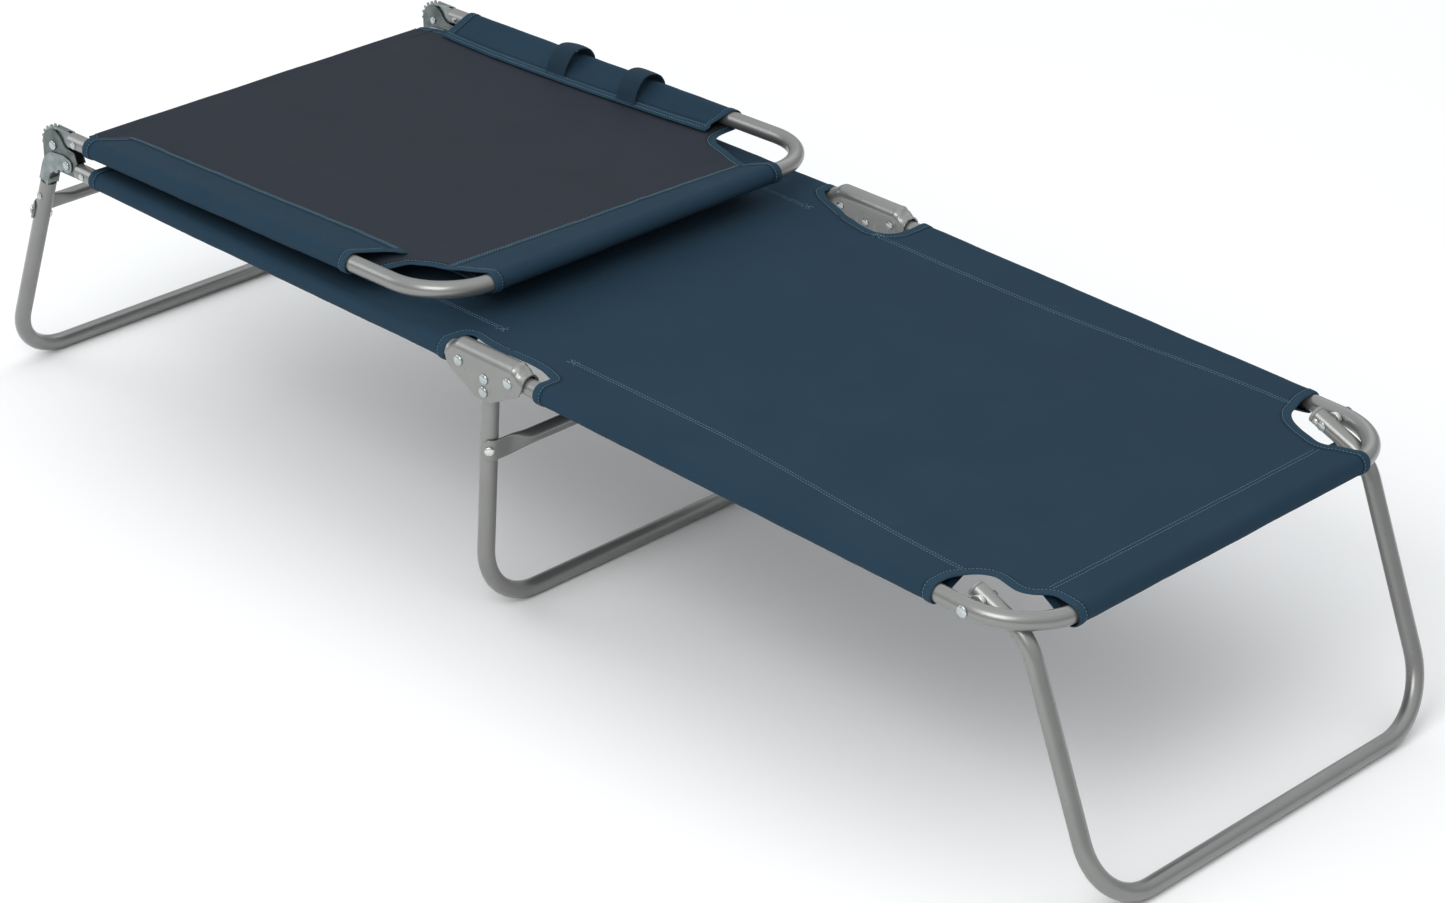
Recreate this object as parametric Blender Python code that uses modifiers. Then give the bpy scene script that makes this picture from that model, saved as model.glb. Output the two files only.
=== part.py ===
"""Three-legged folding cot in steel tube and fabric, with its head panel folded over onto the bed.

World frame in metres: +X towards the foot end, -Y the sleeper's right, +Z up, floor at z = 0.
Every moving body hangs from an empty on its joint's axis, and is drawn in that empty's own frame.
"""

import math

import bmesh
import bpy
from mathutils import Matrix, Vector

# Tubes
TUBE_R = 0.009
TUBE_WALL = 0.001
TUBE_SIDES = 10
BEND_R = 0.070
BEND_STEPS = 5
RAIL_Y = 0.275
GAP = 0.0003

# Bed height and the pivots of the two folding sections on the middle brackets
BED_Z = 0.283
BRACKET_X = 0.0113
HEAD_PIVOT_X = -0.024
FOOT_PIVOT_X = 0.0466
RAIL_STUB = 0.010
FOOT_FALL = math.radians(1.06)

# Middle leg
MID_LEG_TILT = math.radians(2.4)
MID_LEG_FOOT = (0.0, 0.0, TUBE_R)
MID_LEG_LENGTH = 0.278
MID_BRACE_UP = 0.188

# Head end
HUB_X = -0.679
HUB_Z = 0.3032
HEAD_RAIL_START_X = -0.640
RAIL_RIVET_X = -0.627
PANEL_RISE = math.radians(1.3)
PANEL_TUBE_Z = 0.012
PANEL_TUBE_START = 0.029
PANEL_RIVET_X = 0.0406
PANEL_END_X = 0.6174
HEAD_LEG_X = -0.6544
HEAD_LEG_Z = 0.2875
HEAD_LEG_TILT = math.radians(19.1)
HEAD_LEG_OFFSET = -0.0305
HEAD_LEG_TOP = -0.045
HEAD_LEG_BAR = -0.3053
HEAD_SHANK_RIVET = -0.065
HEAD_BRACE_DOWN = -0.090

# Foot end, along the falling rails from the bracket pivot
FOOT_LEG_ALONG = 0.584
FOOT_END_ALONG = 0.6532
FOOT_LEG_Y = 0.2500
FOOT_LEG_TOP = (-0.011, 0.004)
FOOT_LEG_KNEE = (0.050, -0.0200)
FOOT_LEG_BAR = (0.1529, -0.2629)
FOOT_KNEE_R = 0.050
SPACER_R = 0.0078
SPACER_CLEAR = 0.0018

# Hinge stack, as half distances from the rail's centre plane
TOOTHED_IN, TOOTHED_OUT = 0.0020, 0.0040
CHEEK_IN, CHEEK_OUT = 0.0044, 0.0059
LEG_PLATE_IN, LEG_PLATE_OUT = 0.0062, 0.0077
PAWL_HALF = 0.0016
PAWL_PIN = (-0.0147, -0.0059)
PAWL_PIN_R = 0.0013
PAWL_BOSS_R, PAWL_NOSE_R = 0.0052, 0.0020
TOOTH_TIP_R, TOOTH_ROOT_R = 0.022, 0.0185
TOOTH_PITCH = 20
TOOTH_COUNT = 13
FIRST_TOOTH = 85
TOOTH_TIP_HALF, TOOTH_ROOT_HALF = 3.5, 6.5
SHANK_HALF_Z = 0.0045
SHANK_R = 0.0070

# Rivets: pins, and the radius and height of each kind of head
PIN_R = 0.003
PIN_HOLE_R = PIN_R + GAP
PIN_STEPS = 8
PLAIN_HEAD_H = 0.0020
BRACKET_HEAD_R, BRACKET_HEAD_H = 0.0058, 0.0023
SHANK_HEAD_R, SHANK_HEAD_H = 0.0040, 0.0014
HUB_HEAD_R = 0.0055
PIVOT_HEAD_R = 0.0050
FOOT_LEG_HEAD_R = 0.0060
SHOP_SHARE = (0.8, 0.7)

# Bracket: a pressed cap over the rail stubs
CAP_IN, CAP_OUT = 0.0097, 0.0115
CAP_CENTRE_UP = 0.009
BRACKET_SKIRT = -0.035
BRACKET_LENGTH = 0.114
LEG_RIVETS = ((0.0127, -0.0075), (0.0120, -0.0216))

# Fabric
CLOTH = 0.0012
SLEEVE_IN, SLEEVE_OUT = 0.0097, 0.0109
SHEET_UP = 0.0095
SLEEVE_SIDES = 10

# Finishes: colour, metallic, roughness
PAINT = ((0.27, 0.275, 0.265), 0.3, 0.42)
ZINC = ((0.42, 0.44, 0.44), 0.85, 0.35)
BRIGHT = ((0.60, 0.60, 0.58), 0.9, 0.3)
PLASTIC = ((0.03, 0.03, 0.035), 0.0, 0.5)
BLUE_CLOTH = ((0.030, 0.062, 0.090), 0.0, 0.85)

PLANES = {
    "XY": Matrix(((1, 0, 0), (0, 1, 0), (0, 0, 1))),
    "XZ": Matrix(((1, 0, 0), (0, 0, -1), (0, 1, 0))),
    "YZ": Matrix(((0, 0, 1), (1, 0, 0), (0, 1, 0))),
}


# ---------------------------------------------------------------- scene and placing

def clear_scene():
    for obj in list(bpy.data.objects):
        bpy.data.objects.remove(obj, do_unlink=True)


def new_collection(name):
    group = bpy.data.collections.new(name)
    bpy.context.scene.collection.children.link(group)
    return group


clear_scene()
PARTS = new_collection("folding_cot")
CUTTERS = new_collection("cutters")


def body_empty(name, place, tilt=0.0, parent=None):
    """An empty on a joint's axis, turned about Y, whose place is given in the world."""
    empty = bpy.data.objects.new(name, None)
    PARTS.objects.link(empty)
    empty.empty_display_size = 0.03
    empty.location = place
    empty.rotation_euler = (0.0, tilt, 0.0)
    if parent:
        empty.parent = parent
        empty.matrix_parent_inverse = parent.matrix_world.inverted()
    bpy.context.view_layer.update()
    return empty


def finish(obj, look):
    """Gives the object a Principled material of its own."""
    colour, metallic, roughness = look
    material = bpy.data.materials.new(obj.name)
    material.use_nodes = True
    shader = material.node_tree.nodes["Principled BSDF"]
    shader.inputs["Base Color"].default_value = (*colour, 1.0)
    shader.inputs["Metallic"].default_value = metallic
    shader.inputs["Roughness"].default_value = roughness
    material.diffuse_color = (*colour, 1.0)
    obj.data.materials.clear()
    obj.data.materials.append(material)


def place(obj, body, look=None):
    """Puts a new object under its body's empty: with a look it is a part, without one a cutter."""
    for group in obj.users_collection:
        group.objects.unlink(obj)
    (PARTS if look else CUTTERS).objects.link(obj)
    obj.parent = body
    if look:
        finish(obj, look)
        obj.data.shade_smooth()
        obj.data.set_sharp_from_angle(angle=math.radians(35))
    else:
        obj.hide_render = True
        obj.display_type = "WIRE"
    return obj


def mesh_from(curve_object, name):
    """The welded mesh of a curve object, which is removed."""
    bpy.context.scene.collection.objects.link(curve_object)
    bpy.context.view_layer.update()
    graph = bpy.context.evaluated_depsgraph_get()
    mesh = bpy.data.meshes.new_from_object(curve_object.evaluated_get(graph))
    bpy.data.objects.remove(curve_object, do_unlink=True)
    shape = bmesh.new()
    shape.from_mesh(mesh)
    bmesh.ops.remove_doubles(shape, verts=shape.verts, dist=1e-6)
    bmesh.ops.recalc_face_normals(shape, faces=shape.faces)
    shape.to_mesh(mesh)
    shape.free()
    mesh.name = name
    return mesh


# ---------------------------------------------------------------- outlines and paths

def rounded(points, radius, steps=BEND_STEPS):
    """The points with each corner turned into an arc; radius is one number or one for each point."""
    vectors = [Vector(point) for point in points]
    radii = radius if isinstance(radius, (list, tuple)) else [radius] * len(vectors)
    result = []
    for index, corner in enumerate(vectors):
        if index in (0, len(vectors) - 1) or radii[index] <= 0:
            result.append(corner)
            continue
        back = (vectors[index - 1] - corner).normalized()
        ahead = (vectors[index + 1] - corner).normalized()
        half_angle = back.angle(ahead) / 2
        centre_way = (back + ahead).normalized()
        centre = corner + centre_way * (radii[index] / math.sin(half_angle))
        first = corner + back * (radii[index] / math.tan(half_angle)) - centre
        last = corner + ahead * (radii[index] / math.tan(half_angle)) - centre
        sweep = first.angle(last)
        for step in range(steps + 1):
            share = step / steps
            one = math.sin((1 - share) * sweep) / math.sin(sweep)
            two = math.sin(share * sweep) / math.sin(sweep)
            result.append(centre + first * one + last * two)
    return result


def arc(centre, radius, start, end, steps):
    """Points on a circle in the outline's plane, from one angle to another, in degrees."""
    turns = [math.radians(start + (end - start) * step / steps) for step in range(steps + 1)]
    return [(centre[0] + radius * math.cos(a), centre[1] + radius * math.sin(a)) for a in turns]


def ribbon(path, thickness):
    """The outline of a strip of even thickness along an open path in a plane."""
    points = [Vector(point) for point in path]
    left, right = [], []
    for index, point in enumerate(points):
        before = points[max(index - 1, 0)]
        after = points[min(index + 1, len(points) - 1)]
        way = (after - before).normalized()
        side = Vector((-way.y, way.x)) * (thickness / 2)
        left.append(point + side)
        right.append(point - side)
    return left + right[::-1]


def mirrored(points):
    """A plan outline given for y >= 0, closed by its mirror image."""
    return list(points) + [(x, -y) for x, y in reversed(points)]


# ---------------------------------------------------------------- solids

def prism_mesh(name, loops, plane, middle, depth):
    """A flat outline, with any holes, extruded to a depth about a middle along the plane's normal."""
    curve = bpy.data.curves.new(name, "CURVE")
    curve.dimensions = "2D"
    curve.fill_mode = "BOTH"
    curve.extrude = depth / 2
    for loop in loops:
        spline = curve.splines.new("POLY")
        spline.points.add(len(loop) - 1)
        for point, (u, v) in zip(spline.points, loop):
            point.co = (u, v, 0.0, 1.0)
        spline.use_cyclic_u = True
    mesh = mesh_from(bpy.data.objects.new(name, curve), name)
    turn = PLANES[plane].to_4x4()
    normal = PLANES[plane].col[2]
    mesh.transform(Matrix.Translation(normal * (middle * (-1 if plane == "XZ" else 1))) @ turn)
    return mesh


def prism(name, body, look, loops, plane, middle, depth):
    """A part, or with no look a cutter, of one outline."""
    mesh = prism_mesh(name, loops, plane, middle, depth)
    return place(bpy.data.objects.new(name, mesh), body, look)


def round_bar(name, body, look, start, way, radius, length, sides=PIN_STEPS):
    """A cylinder from a point along a direction."""
    shape = bmesh.new()
    bmesh.ops.create_cone(
        shape, cap_ends=True, segments=sides, radius1=radius, radius2=radius, depth=length
    )
    mesh = bpy.data.meshes.new(name)
    shape.to_mesh(mesh)
    shape.free()
    way = Vector(way).normalized()
    turn = way.to_track_quat("Z", "Y").to_matrix().to_4x4()
    mesh.transform(Matrix.Translation(Vector(start) + way * (length / 2)) @ turn)
    return place(bpy.data.objects.new(name, mesh), body, look)


def block(name, body, look, low, high):
    """A box between two corners."""
    shape = bmesh.new()
    bmesh.ops.create_cube(shape, size=1.0)
    mesh = bpy.data.meshes.new(name)
    shape.to_mesh(mesh)
    shape.free()
    low, high = Vector(low), Vector(high)
    mesh.transform(Matrix.Translation((low + high) / 2) @ Matrix.Diagonal((*(high - low), 1.0)))
    return place(bpy.data.objects.new(name, mesh), body, look)


def tube(name, body, points, look=PAINT):
    """A bent tube with open ends: a bevelled curve's skin with Solidify inwards."""
    curve = bpy.data.curves.new(name, "CURVE")
    curve.dimensions = "3D"
    curve.bevel_depth = TUBE_R
    curve.bevel_resolution = (TUBE_SIDES - 4) // 2
    spline = curve.splines.new("POLY")
    spline.points.add(len(points) - 1)
    for point, co in zip(spline.points, points):
        point.co = (*co, 1.0)
    obj = bpy.data.objects.new(name, mesh_from(bpy.data.objects.new(name, curve), name))
    place(obj, body, look)
    wall = obj.modifiers.new("wall", "SOLIDIFY")
    wall.thickness = TUBE_WALL
    wall.offset = -1.0
    wall.use_even_offset = True
    return obj


def boolean(target, other, operation):
    cut = target.modifiers.new(other.name, "BOOLEAN")
    cut.operation = operation
    cut.solver = "EXACT"
    cut.object = other


def join(target, *others):
    """Unites helper solids with a part."""
    for other in others:
        boolean(target, other, "UNION")


def drill(targets, body, middle, way, radius=PIN_HOLE_R, length=0.06):
    """Cuts one round hole through each of the targets."""
    way = Vector(way).normalized()
    start = Vector(middle) - way * (length / 2)
    cutter = round_bar(targets[0].name + "_hole", body, None, start, way, radius, length, 10)
    for target in targets:
        boolean(target, cutter, "DIFFERENCE")


def rivet(name, body, middle, way, grip, head_r, head_h=PLAIN_HEAD_H, look=ZINC):
    """A domed rivet whose pin is centred on a point; its head is at the end that way points to."""
    half = grip / 2 + GAP
    shop_r, shop_h = head_r * SHOP_SHARE[0], head_h * SHOP_SHARE[1]
    profile = [
        (0.0, half + head_h),
        (head_r * 0.6, half + head_h * 0.8),
        (head_r, half + head_h * 0.25),
        (head_r, half),
        (PIN_R, half),
        (PIN_R, -half),
        (shop_r, -half),
        (shop_r * 0.8, -half - shop_h),
        (0.0, -half - shop_h),
    ]
    mesh = bpy.data.meshes.new(name)
    edges = [(index, index + 1) for index in range(len(profile) - 1)]
    mesh.from_pydata([(r, 0.0, z) for r, z in profile], edges, [])
    way = Vector(way).normalized()
    obj = bpy.data.objects.new(name, mesh)
    turned = obj.modifiers.new("turned", "SCREW")
    turned.steps = PIN_STEPS
    turned.render_steps = PIN_STEPS
    turned.use_merge_vertices = True
    turned.merge_threshold = 1e-5
    place(obj, body, look)
    obj.location = middle
    obj.rotation_euler = way.to_track_quat("Z", "Y").to_euler()
    return obj


def smooth_step(low, high, value):
    share = min(max((value - low) / (high - low), 0.0), 1.0)
    return share * share * (3 - 2 * share)


# A brace: a tube squashed flat at its ends, each flat wrapped part way round its leg
BRACE_R = 0.008
TAB_HALF_THICK = 0.0013
TAB_HALF_WIDTH = 0.0115
TAB_WRAP = math.radians(75)
TAB_RIVET = math.radians(42)
WRAP_R = TUBE_R + GAP + TAB_HALF_THICK
FLAT_FROM, FLAT_TO = 0.228, 0.260
BRACE_SIDES = 10


def brace_stations():
    """Distances along half the brace's middle line, closer together where it changes."""
    squash = [FLAT_FROM + (FLAT_TO - FLAT_FROM) * step / 4 for step in range(5)]
    wrap = [RAIL_Y + WRAP_R * TAB_WRAP * step / 5 for step in range(6)]
    half = squash + wrap
    return [-s for s in reversed(half)] + half


def brace_ring(along):
    """The ring of points round the middle line at a distance along it: x is out from the leg's side."""
    side = 1 if along > 0 else -1
    flat = smooth_step(FLAT_FROM, FLAT_TO, abs(along))
    thick = BRACE_R + (TAB_HALF_THICK - BRACE_R) * flat
    wide = BRACE_R + (TAB_HALF_WIDTH - BRACE_R) * flat
    turn = max(abs(along) - RAIL_Y, 0.0) / WRAP_R
    ring = []
    for step in range(BRACE_SIDES):
        angle = math.tau * step / BRACE_SIDES
        out = WRAP_R + thick * math.cos(angle)
        if turn > 0:
            x, y = out * math.cos(turn), RAIL_Y + out * math.sin(turn)
        else:
            x, y = out, abs(along)
        ring.append((x, side * y, wide * math.sin(angle)))
    return ring


def brace(name, body, middle, side):
    """A brace on the side (+1 or -1 along X) of two legs that stand at +-RAIL_Y."""
    shape = bmesh.new()
    rings = []
    for along in brace_stations():
        ring = brace_ring(along)
        rings.append([shape.verts.new((side * x, y, z)) for x, y, z in ring])
    for first, second in zip(rings, rings[1:]):
        for index in range(BRACE_SIDES):
            after = (index + 1) % BRACE_SIDES
            shape.faces.new((first[index], first[after], second[after], second[index]))
    shape.faces.new(rings[0])
    shape.faces.new(rings[-1][::-1])
    bmesh.ops.recalc_face_normals(shape, faces=shape.faces)
    mesh = bpy.data.meshes.new(name)
    shape.to_mesh(mesh)
    shape.free()
    mesh.transform(Matrix.Translation(middle))
    return place(bpy.data.objects.new(name, mesh), body, PAINT)


def brace_rivets(prefix, body, brace_part, leg, middle, side):
    """The rivets that go through each flat and its leg, slanting outwards."""
    for hand, y_side in HANDS:
        way = Vector((side * math.cos(TAB_RIVET), y_side * math.sin(TAB_RIVET), 0.0))
        on_leg = Vector((middle[0], y_side * RAIL_Y, middle[2]))
        tab_thick = 2 * TAB_HALF_THICK + GAP
        centre = on_leg + way * (tab_thick / 2)
        drill((brace_part, leg), body, centre, way)
        grip = 2 * TUBE_R + tab_thick
        rivet(f"{prefix}_rivet_{hand}", body, centre, way, grip, PIVOT_HEAD_R, look=BRIGHT)


# ---------------------------------------------------------------- the object

HANDS = (("right", -1), ("left", 1))


def make_bodies():
    """The empties on the joints' axes."""
    head = body_empty("head_section", (HEAD_PIVOT_X, 0.0, BED_Z))
    foot = body_empty("foot_section", (FOOT_PIVOT_X, 0.0, BED_Z), FOOT_FALL)
    foot_leg_at = foot.matrix_world @ Vector((FOOT_LEG_ALONG, 0.0, 0.0))
    return {
        "mid_leg": body_empty("mid_leg", MID_LEG_FOOT, MID_LEG_TILT),
        "head": head,
        "foot": foot,
        "panel": body_empty("head_panel", (HUB_X, 0.0, HUB_Z), -PANEL_RISE, head),
        "head_leg": body_empty("head_leg", (HEAD_LEG_X, 0.0, HEAD_LEG_Z), HEAD_LEG_TILT, head),
        "foot_leg": body_empty("foot_leg", foot_leg_at, 0.0, foot),
        "pawls": body_empty("pawls", (HEAD_LEG_X, 0.0, HEAD_LEG_Z), 0.0, head),
    }


def leg_frame(name, body, x, top, bar, y=RAIL_Y):
    """A plain U-shaped leg."""
    points = [(x, -y, top), (x, -y, bar), (x, y, bar), (x, y, top)]
    return tube(name, body, rounded(points, BEND_R))


def bracket_outline():
    """The bracket seen from the side, about the middle of its rivet line."""
    half = [
        (0.045, 0.0210),
        (0.0555, 0.0100),
        (0.0555, 0.0040),
        (0.0535, -0.0040),
        (0.0460, -0.0125),
        (0.0090, -0.0310),
    ]
    right = rounded(half, [0, 0, 0, 0, 0.006, 0.003], 3)
    outline = right + [Vector((-p.x, p.y)) for p in reversed(right)]
    return [(BRACKET_X + p.x, BED_Z + p.y) for p in outline]


def bracket_section(y):
    """The bracket's cross-section: a cap with a round top, open below."""
    low, centre = BED_Z + BRACKET_SKIRT, (y, BED_Z + CAP_CENTRE_UP)
    outer = [(y + CAP_OUT, low)] + arc(centre, CAP_OUT, 0, 180, 8) + [(y - CAP_OUT, low)]
    inner = [(y - CAP_IN, low)] + arc(centre, CAP_IN, 180, 0, 8) + [(y + CAP_IN, low)]
    return outer + inner


def make_brackets(rails, foot_frame, mid_leg):
    """The two pressed middle brackets and the four rivets in each."""
    for hand, side in HANDS:
        y = side * RAIL_Y
        section = [bracket_section(y)]
        bracket = prism(f"mid_bracket_{hand}", None, PAINT, section, "YZ", BRACKET_X, BRACKET_LENGTH)
        outline = prism(f"mid_bracket_outline_{hand}", None, None, [bracket_outline()], "XZ", y, 0.05)
        boolean(bracket, outline, "INTERSECT")
        places = {
            f"head_pivot_rivet_{hand}": (HEAD_PIVOT_X, 0.0, rails[hand]),
            f"foot_pivot_rivet_{hand}": (FOOT_PIVOT_X, 0.0, foot_frame),
            f"leg_rivet_upper_{hand}": (*LEG_RIVETS[0], mid_leg),
            f"leg_rivet_lower_{hand}": (*LEG_RIVETS[1], mid_leg),
        }
        for name, (x, up, held) in places.items():
            middle = (x, y, BED_Z + up)
            drill((bracket, held), None, middle, (0, 1, 0), length=0.03)
            rivet(name, None, middle, (0, side, 0), 2 * CAP_OUT, BRACKET_HEAD_R, BRACKET_HEAD_H)


def make_middle(bodies):
    """The middle leg and its brace."""
    body = bodies["mid_leg"]
    leg = leg_frame("mid_leg_frame", body, 0.0, MID_LEG_LENGTH, 0.0)
    middle = (0.0, 0.0, MID_BRACE_UP)
    brace_part = brace("mid_leg_brace", body, middle, 1)
    brace_rivets("mid_brace", body, brace_part, leg, middle, 1)
    return leg


def cheek_outline():
    """One hinge cheek seen from the side, about the hub."""
    top = arc((0.0, 0.0), 0.0180, 190, 44, 8)
    corners = [top[-1], (0.0200, 0.0030), (0.0370, 0.0020), (0.0420, -0.0106)]
    swept = rounded(corners, [0, 0.016, 0.003, 0], 3)
    return top + swept[1:] + [(0.0386, -0.0106), (0.0386, -0.0270), (-0.0170, -0.0285)]


def make_head_hinge(bodies, rail, hand, side):
    """The riveted cheeks of one head hinge, on a shank in the rail's end."""
    body, y = bodies["head"], side * RAIL_Y
    hub = (HUB_X - HEAD_PIVOT_X, HUB_Z - BED_Z)
    outline = [(hub[0] + x, hub[1] + z) for x, z in cheek_outline()]
    thick = CHEEK_OUT - CHEEK_IN
    middle = (CHEEK_OUT + CHEEK_IN) / 2
    cheeks = prism(f"hinge_cheeks_{hand}", body, ZINC, [outline], "XZ", y + middle, thick)
    inner = prism(f"hinge_cheek_inner_{hand}", body, None, [outline], "XZ", y - middle, thick)
    start = hub[0] + 0.0352
    shank = block(
        f"hinge_shank_{hand}",
        body,
        None,
        (start, y - CHEEK_OUT, -SHANK_HALF_Z),
        (start + 0.031, y + CHEEK_OUT, SHANK_HALF_Z),
    )
    join(cheeks, inner, shank)
    slot = block(
        f"spring_slot_{hand}",
        body,
        None,
        (start - 0.001, y - 0.002, -0.0012),
        (start + 0.006, y + 0.002, 0.0012),
    )
    boolean(cheeks, slot, "DIFFERENCE")
    rivet_at = (RAIL_RIVET_X - HEAD_PIVOT_X, y, 0.0)
    drill((cheeks, rail), body, rivet_at, (0, 1, 0))
    rivet(f"rail_rivet_{hand}", body, rivet_at, (0, side, 0), 2 * TUBE_R, SHANK_HEAD_R, SHANK_HEAD_H)
    return cheeks


def make_head_section(bodies):
    """The two head rails with their hinges, springs and pivot rivets."""
    body, rails, cheeks = bodies["head"], {}, {}
    for hand, side in HANDS:
        y = side * RAIL_Y
        ends = [(HEAD_RAIL_START_X - HEAD_PIVOT_X, y, 0.0), (RAIL_STUB, y, 0.0)]
        rails[hand] = tube(f"head_rail_{hand}", body, ends)
        cheeks[hand] = make_head_hinge(bodies, rails[hand], hand, side)
        make_pawl_spring(body, hand, y)
    return rails, cheeks


def make_pawl_spring(body, hand, y):
    """A leaf spring held in the shank's slot, which presses the pawl's arm up from below."""
    pivot = HEAD_LEG_X - HEAD_PIVOT_X
    bends = [(0.0146, 0.0), (0.0085, 0.0), (0.0060, -0.0014), (0.0010, -0.0015), (-0.0060, -0.0028)]
    path = rounded([(pivot + x, z) for x, z in bends], 0.003, 2)
    strip = ribbon([(p.x, p.y) for p in path], 0.0006)
    prism(f"pawl_spring_{hand}", body, BRIGHT, [strip], "XZ", y, 0.0030)


def toothed_outline():
    """The toothed plate about the hub, with its neck that meets the panel's tube."""
    points = [(0.0287, 0.0212), (0.0040, 0.0216)]
    for tooth in range(TOOTH_COUNT):
        middle = FIRST_TOOTH + TOOTH_PITCH * tooth
        if tooth:
            points.append(arc((0, 0), TOOTH_ROOT_R, middle - TOOTH_ROOT_HALF, middle, 1)[0])
            points.append(arc((0, 0), TOOTH_TIP_R, middle - TOOTH_TIP_HALF, middle, 1)[0])
        points.append(arc((0, 0), TOOTH_TIP_R, middle + TOOTH_TIP_HALF, middle, 1)[0])
        points.append(arc((0, 0), TOOTH_ROOT_R, middle + TOOTH_ROOT_HALF, middle, 1)[0])
    return points + [(0.0200, 0.0010), (0.0287, 0.0040)]


def make_toothed_plate(bodies, panel_frame, hand, side):
    """Two toothed walls joined by the insert that is riveted in the panel's tube."""
    body, y = bodies["panel"], side * RAIL_Y
    thick, middle = TOOTHED_OUT - TOOTHED_IN, (TOOTHED_OUT + TOOTHED_IN) / 2
    window = [(0.0060, 0.0150), (0.0100, 0.0150), (0.0100, 0.0188), (0.0060, 0.0188)]
    loops = [toothed_outline(), window]
    plate = prism(f"toothed_plate_{hand}", body, ZINC, loops, "XZ", y + middle, thick)
    inner = prism(f"toothed_wall_inner_{hand}", body, None, loops, "XZ", y - middle, thick)
    insert = block(
        f"toothed_insert_{hand}",
        body,
        None,
        (0.0250, y - TOOTHED_OUT, PANEL_TUBE_Z - 0.0058),
        (0.0520, y + TOOTHED_OUT, PANEL_TUBE_Z + 0.0058),
    )
    join(plate, inner, insert)
    rivet_at = (PANEL_RIVET_X, y, PANEL_TUBE_Z)
    drill((plate, panel_frame), body, rivet_at, (0, 1, 0))
    rivet(f"panel_rivet_{hand}", body, rivet_at, (0, side, 0), 2 * TUBE_R, SHANK_HEAD_R, SHANK_HEAD_H)
    return plate


def leg_plate_outline():
    """The head leg's hinge plate about its pivot, down to the leg's tube."""
    knuckle = arc((0.0, 0.0), 0.0088, 80, -110, 6)
    lower = [(-0.0051, -0.0128), (-0.0116, -0.0137), (-0.0118, -0.0220), (-0.0173, -0.0205)]
    shank = [(-0.0230, -0.0290), (-0.0230, -0.0447), (-0.0380, -0.0447), (-0.0380, -0.0240)]
    back = rounded([(-0.0372, -0.0160), (-0.0300, -0.0020), (-0.0085, 0.0074)], 0.025, 4)
    return knuckle + lower + shank + [(p.x, p.y) for p in back]


def make_leg_plate(body, leg, hand, side):
    """The forked plate on top of one side of the head leg, on a round shank in its tube."""
    y, outline = side * RAIL_Y, leg_plate_outline()
    thick, middle = LEG_PLATE_OUT - LEG_PLATE_IN, (LEG_PLATE_OUT + LEG_PLATE_IN) / 2
    plate = prism(f"leg_plate_{hand}", body, ZINC, [outline], "XZ", y + middle, thick)
    inner = prism(f"leg_plate_inner_{hand}", body, None, [outline], "XZ", y - middle, thick)
    bridge = block(
        f"leg_plate_bridge_{hand}",
        body,
        None,
        (-0.0379, y - LEG_PLATE_IN - 0.0005, -0.0446),
        (-0.0231, y + LEG_PLATE_IN + 0.0005, -0.0370),
    )
    start = (HEAD_LEG_OFFSET, y, -0.0400)
    shank = round_bar(f"leg_plate_shank_{hand}", body, None, start, (0, 0, -1), SHANK_R, 0.036, 10)
    join(plate, inner, bridge, shank)
    rivet_at = (HEAD_LEG_OFFSET, y, HEAD_SHANK_RIVET)
    drill((plate, leg), body, rivet_at, (0, 1, 0))
    rivet(f"shank_rivet_{hand}", body, rivet_at, (0, side, 0), 2 * TUBE_R, SHANK_HEAD_R, SHANK_HEAD_H)
    return plate


def make_pawl(bodies, hand, y):
    """A pawl about the head leg's pivot: a boss, an arm under the teeth and a cross pin at its end."""
    reach = math.hypot(*PAWL_PIN)
    way = math.degrees(math.atan2(PAWL_PIN[1], PAWL_PIN[0]))
    spread = math.degrees(math.acos((PAWL_BOSS_R - PAWL_NOSE_R) / reach))
    boss = arc((0.0, 0.0), PAWL_BOSS_R, way + spread, way + 360 - spread, 8)
    nose = arc(PAWL_PIN, PAWL_NOSE_R, way - spread, way + spread, 4)
    body = bodies["pawls"]
    pawl = prism(f"pawl_{hand}", body, ZINC, [boss + nose], "XZ", y, 2 * PAWL_HALF)
    start = (PAWL_PIN[0], y - TOOTHED_OUT, PAWL_PIN[1])
    pin = round_bar(f"pawl_pin_{hand}", body, None, start, (0, 1, 0), PAWL_PIN_R, 2 * TOOTHED_OUT)
    join(pawl, pin)
    return pawl


def make_head_leg(bodies, cheeks, toothed):
    """The head leg with its brace, plates and pivots, the pawls, and the hub rivets."""
    body, head = bodies["head_leg"], bodies["head"]
    leg = leg_frame("head_leg_frame", body, HEAD_LEG_OFFSET, HEAD_LEG_TOP, HEAD_LEG_BAR)
    middle = (HEAD_LEG_OFFSET, 0.0, HEAD_BRACE_DOWN)
    brace_part = brace("head_leg_brace", body, middle, -1)
    brace_rivets("head_brace", body, brace_part, leg, middle, -1)
    for hand, side in HANDS:
        y = side * RAIL_Y
        plate = make_leg_plate(body, leg, hand, side)
        pawl = make_pawl(bodies, hand, y)
        pivot = (HEAD_LEG_X - HEAD_PIVOT_X, y, HEAD_LEG_Z - BED_Z)
        drill((cheeks[hand], plate, pawl), head, pivot, (0, 1, 0), length=0.03)
        rivet(f"leg_pivot_rivet_{hand}", head, pivot, (0, side, 0), 2 * LEG_PLATE_OUT, PIVOT_HEAD_R)
        hub = (HUB_X - HEAD_PIVOT_X, y, HUB_Z - BED_Z)
        drill((cheeks[hand], toothed[hand]), head, hub, (0, 1, 0), length=0.03)
        rivet(f"hub_rivet_{hand}", head, hub, (0, side, 0), 2 * CHEEK_OUT, HUB_HEAD_R)


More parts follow.
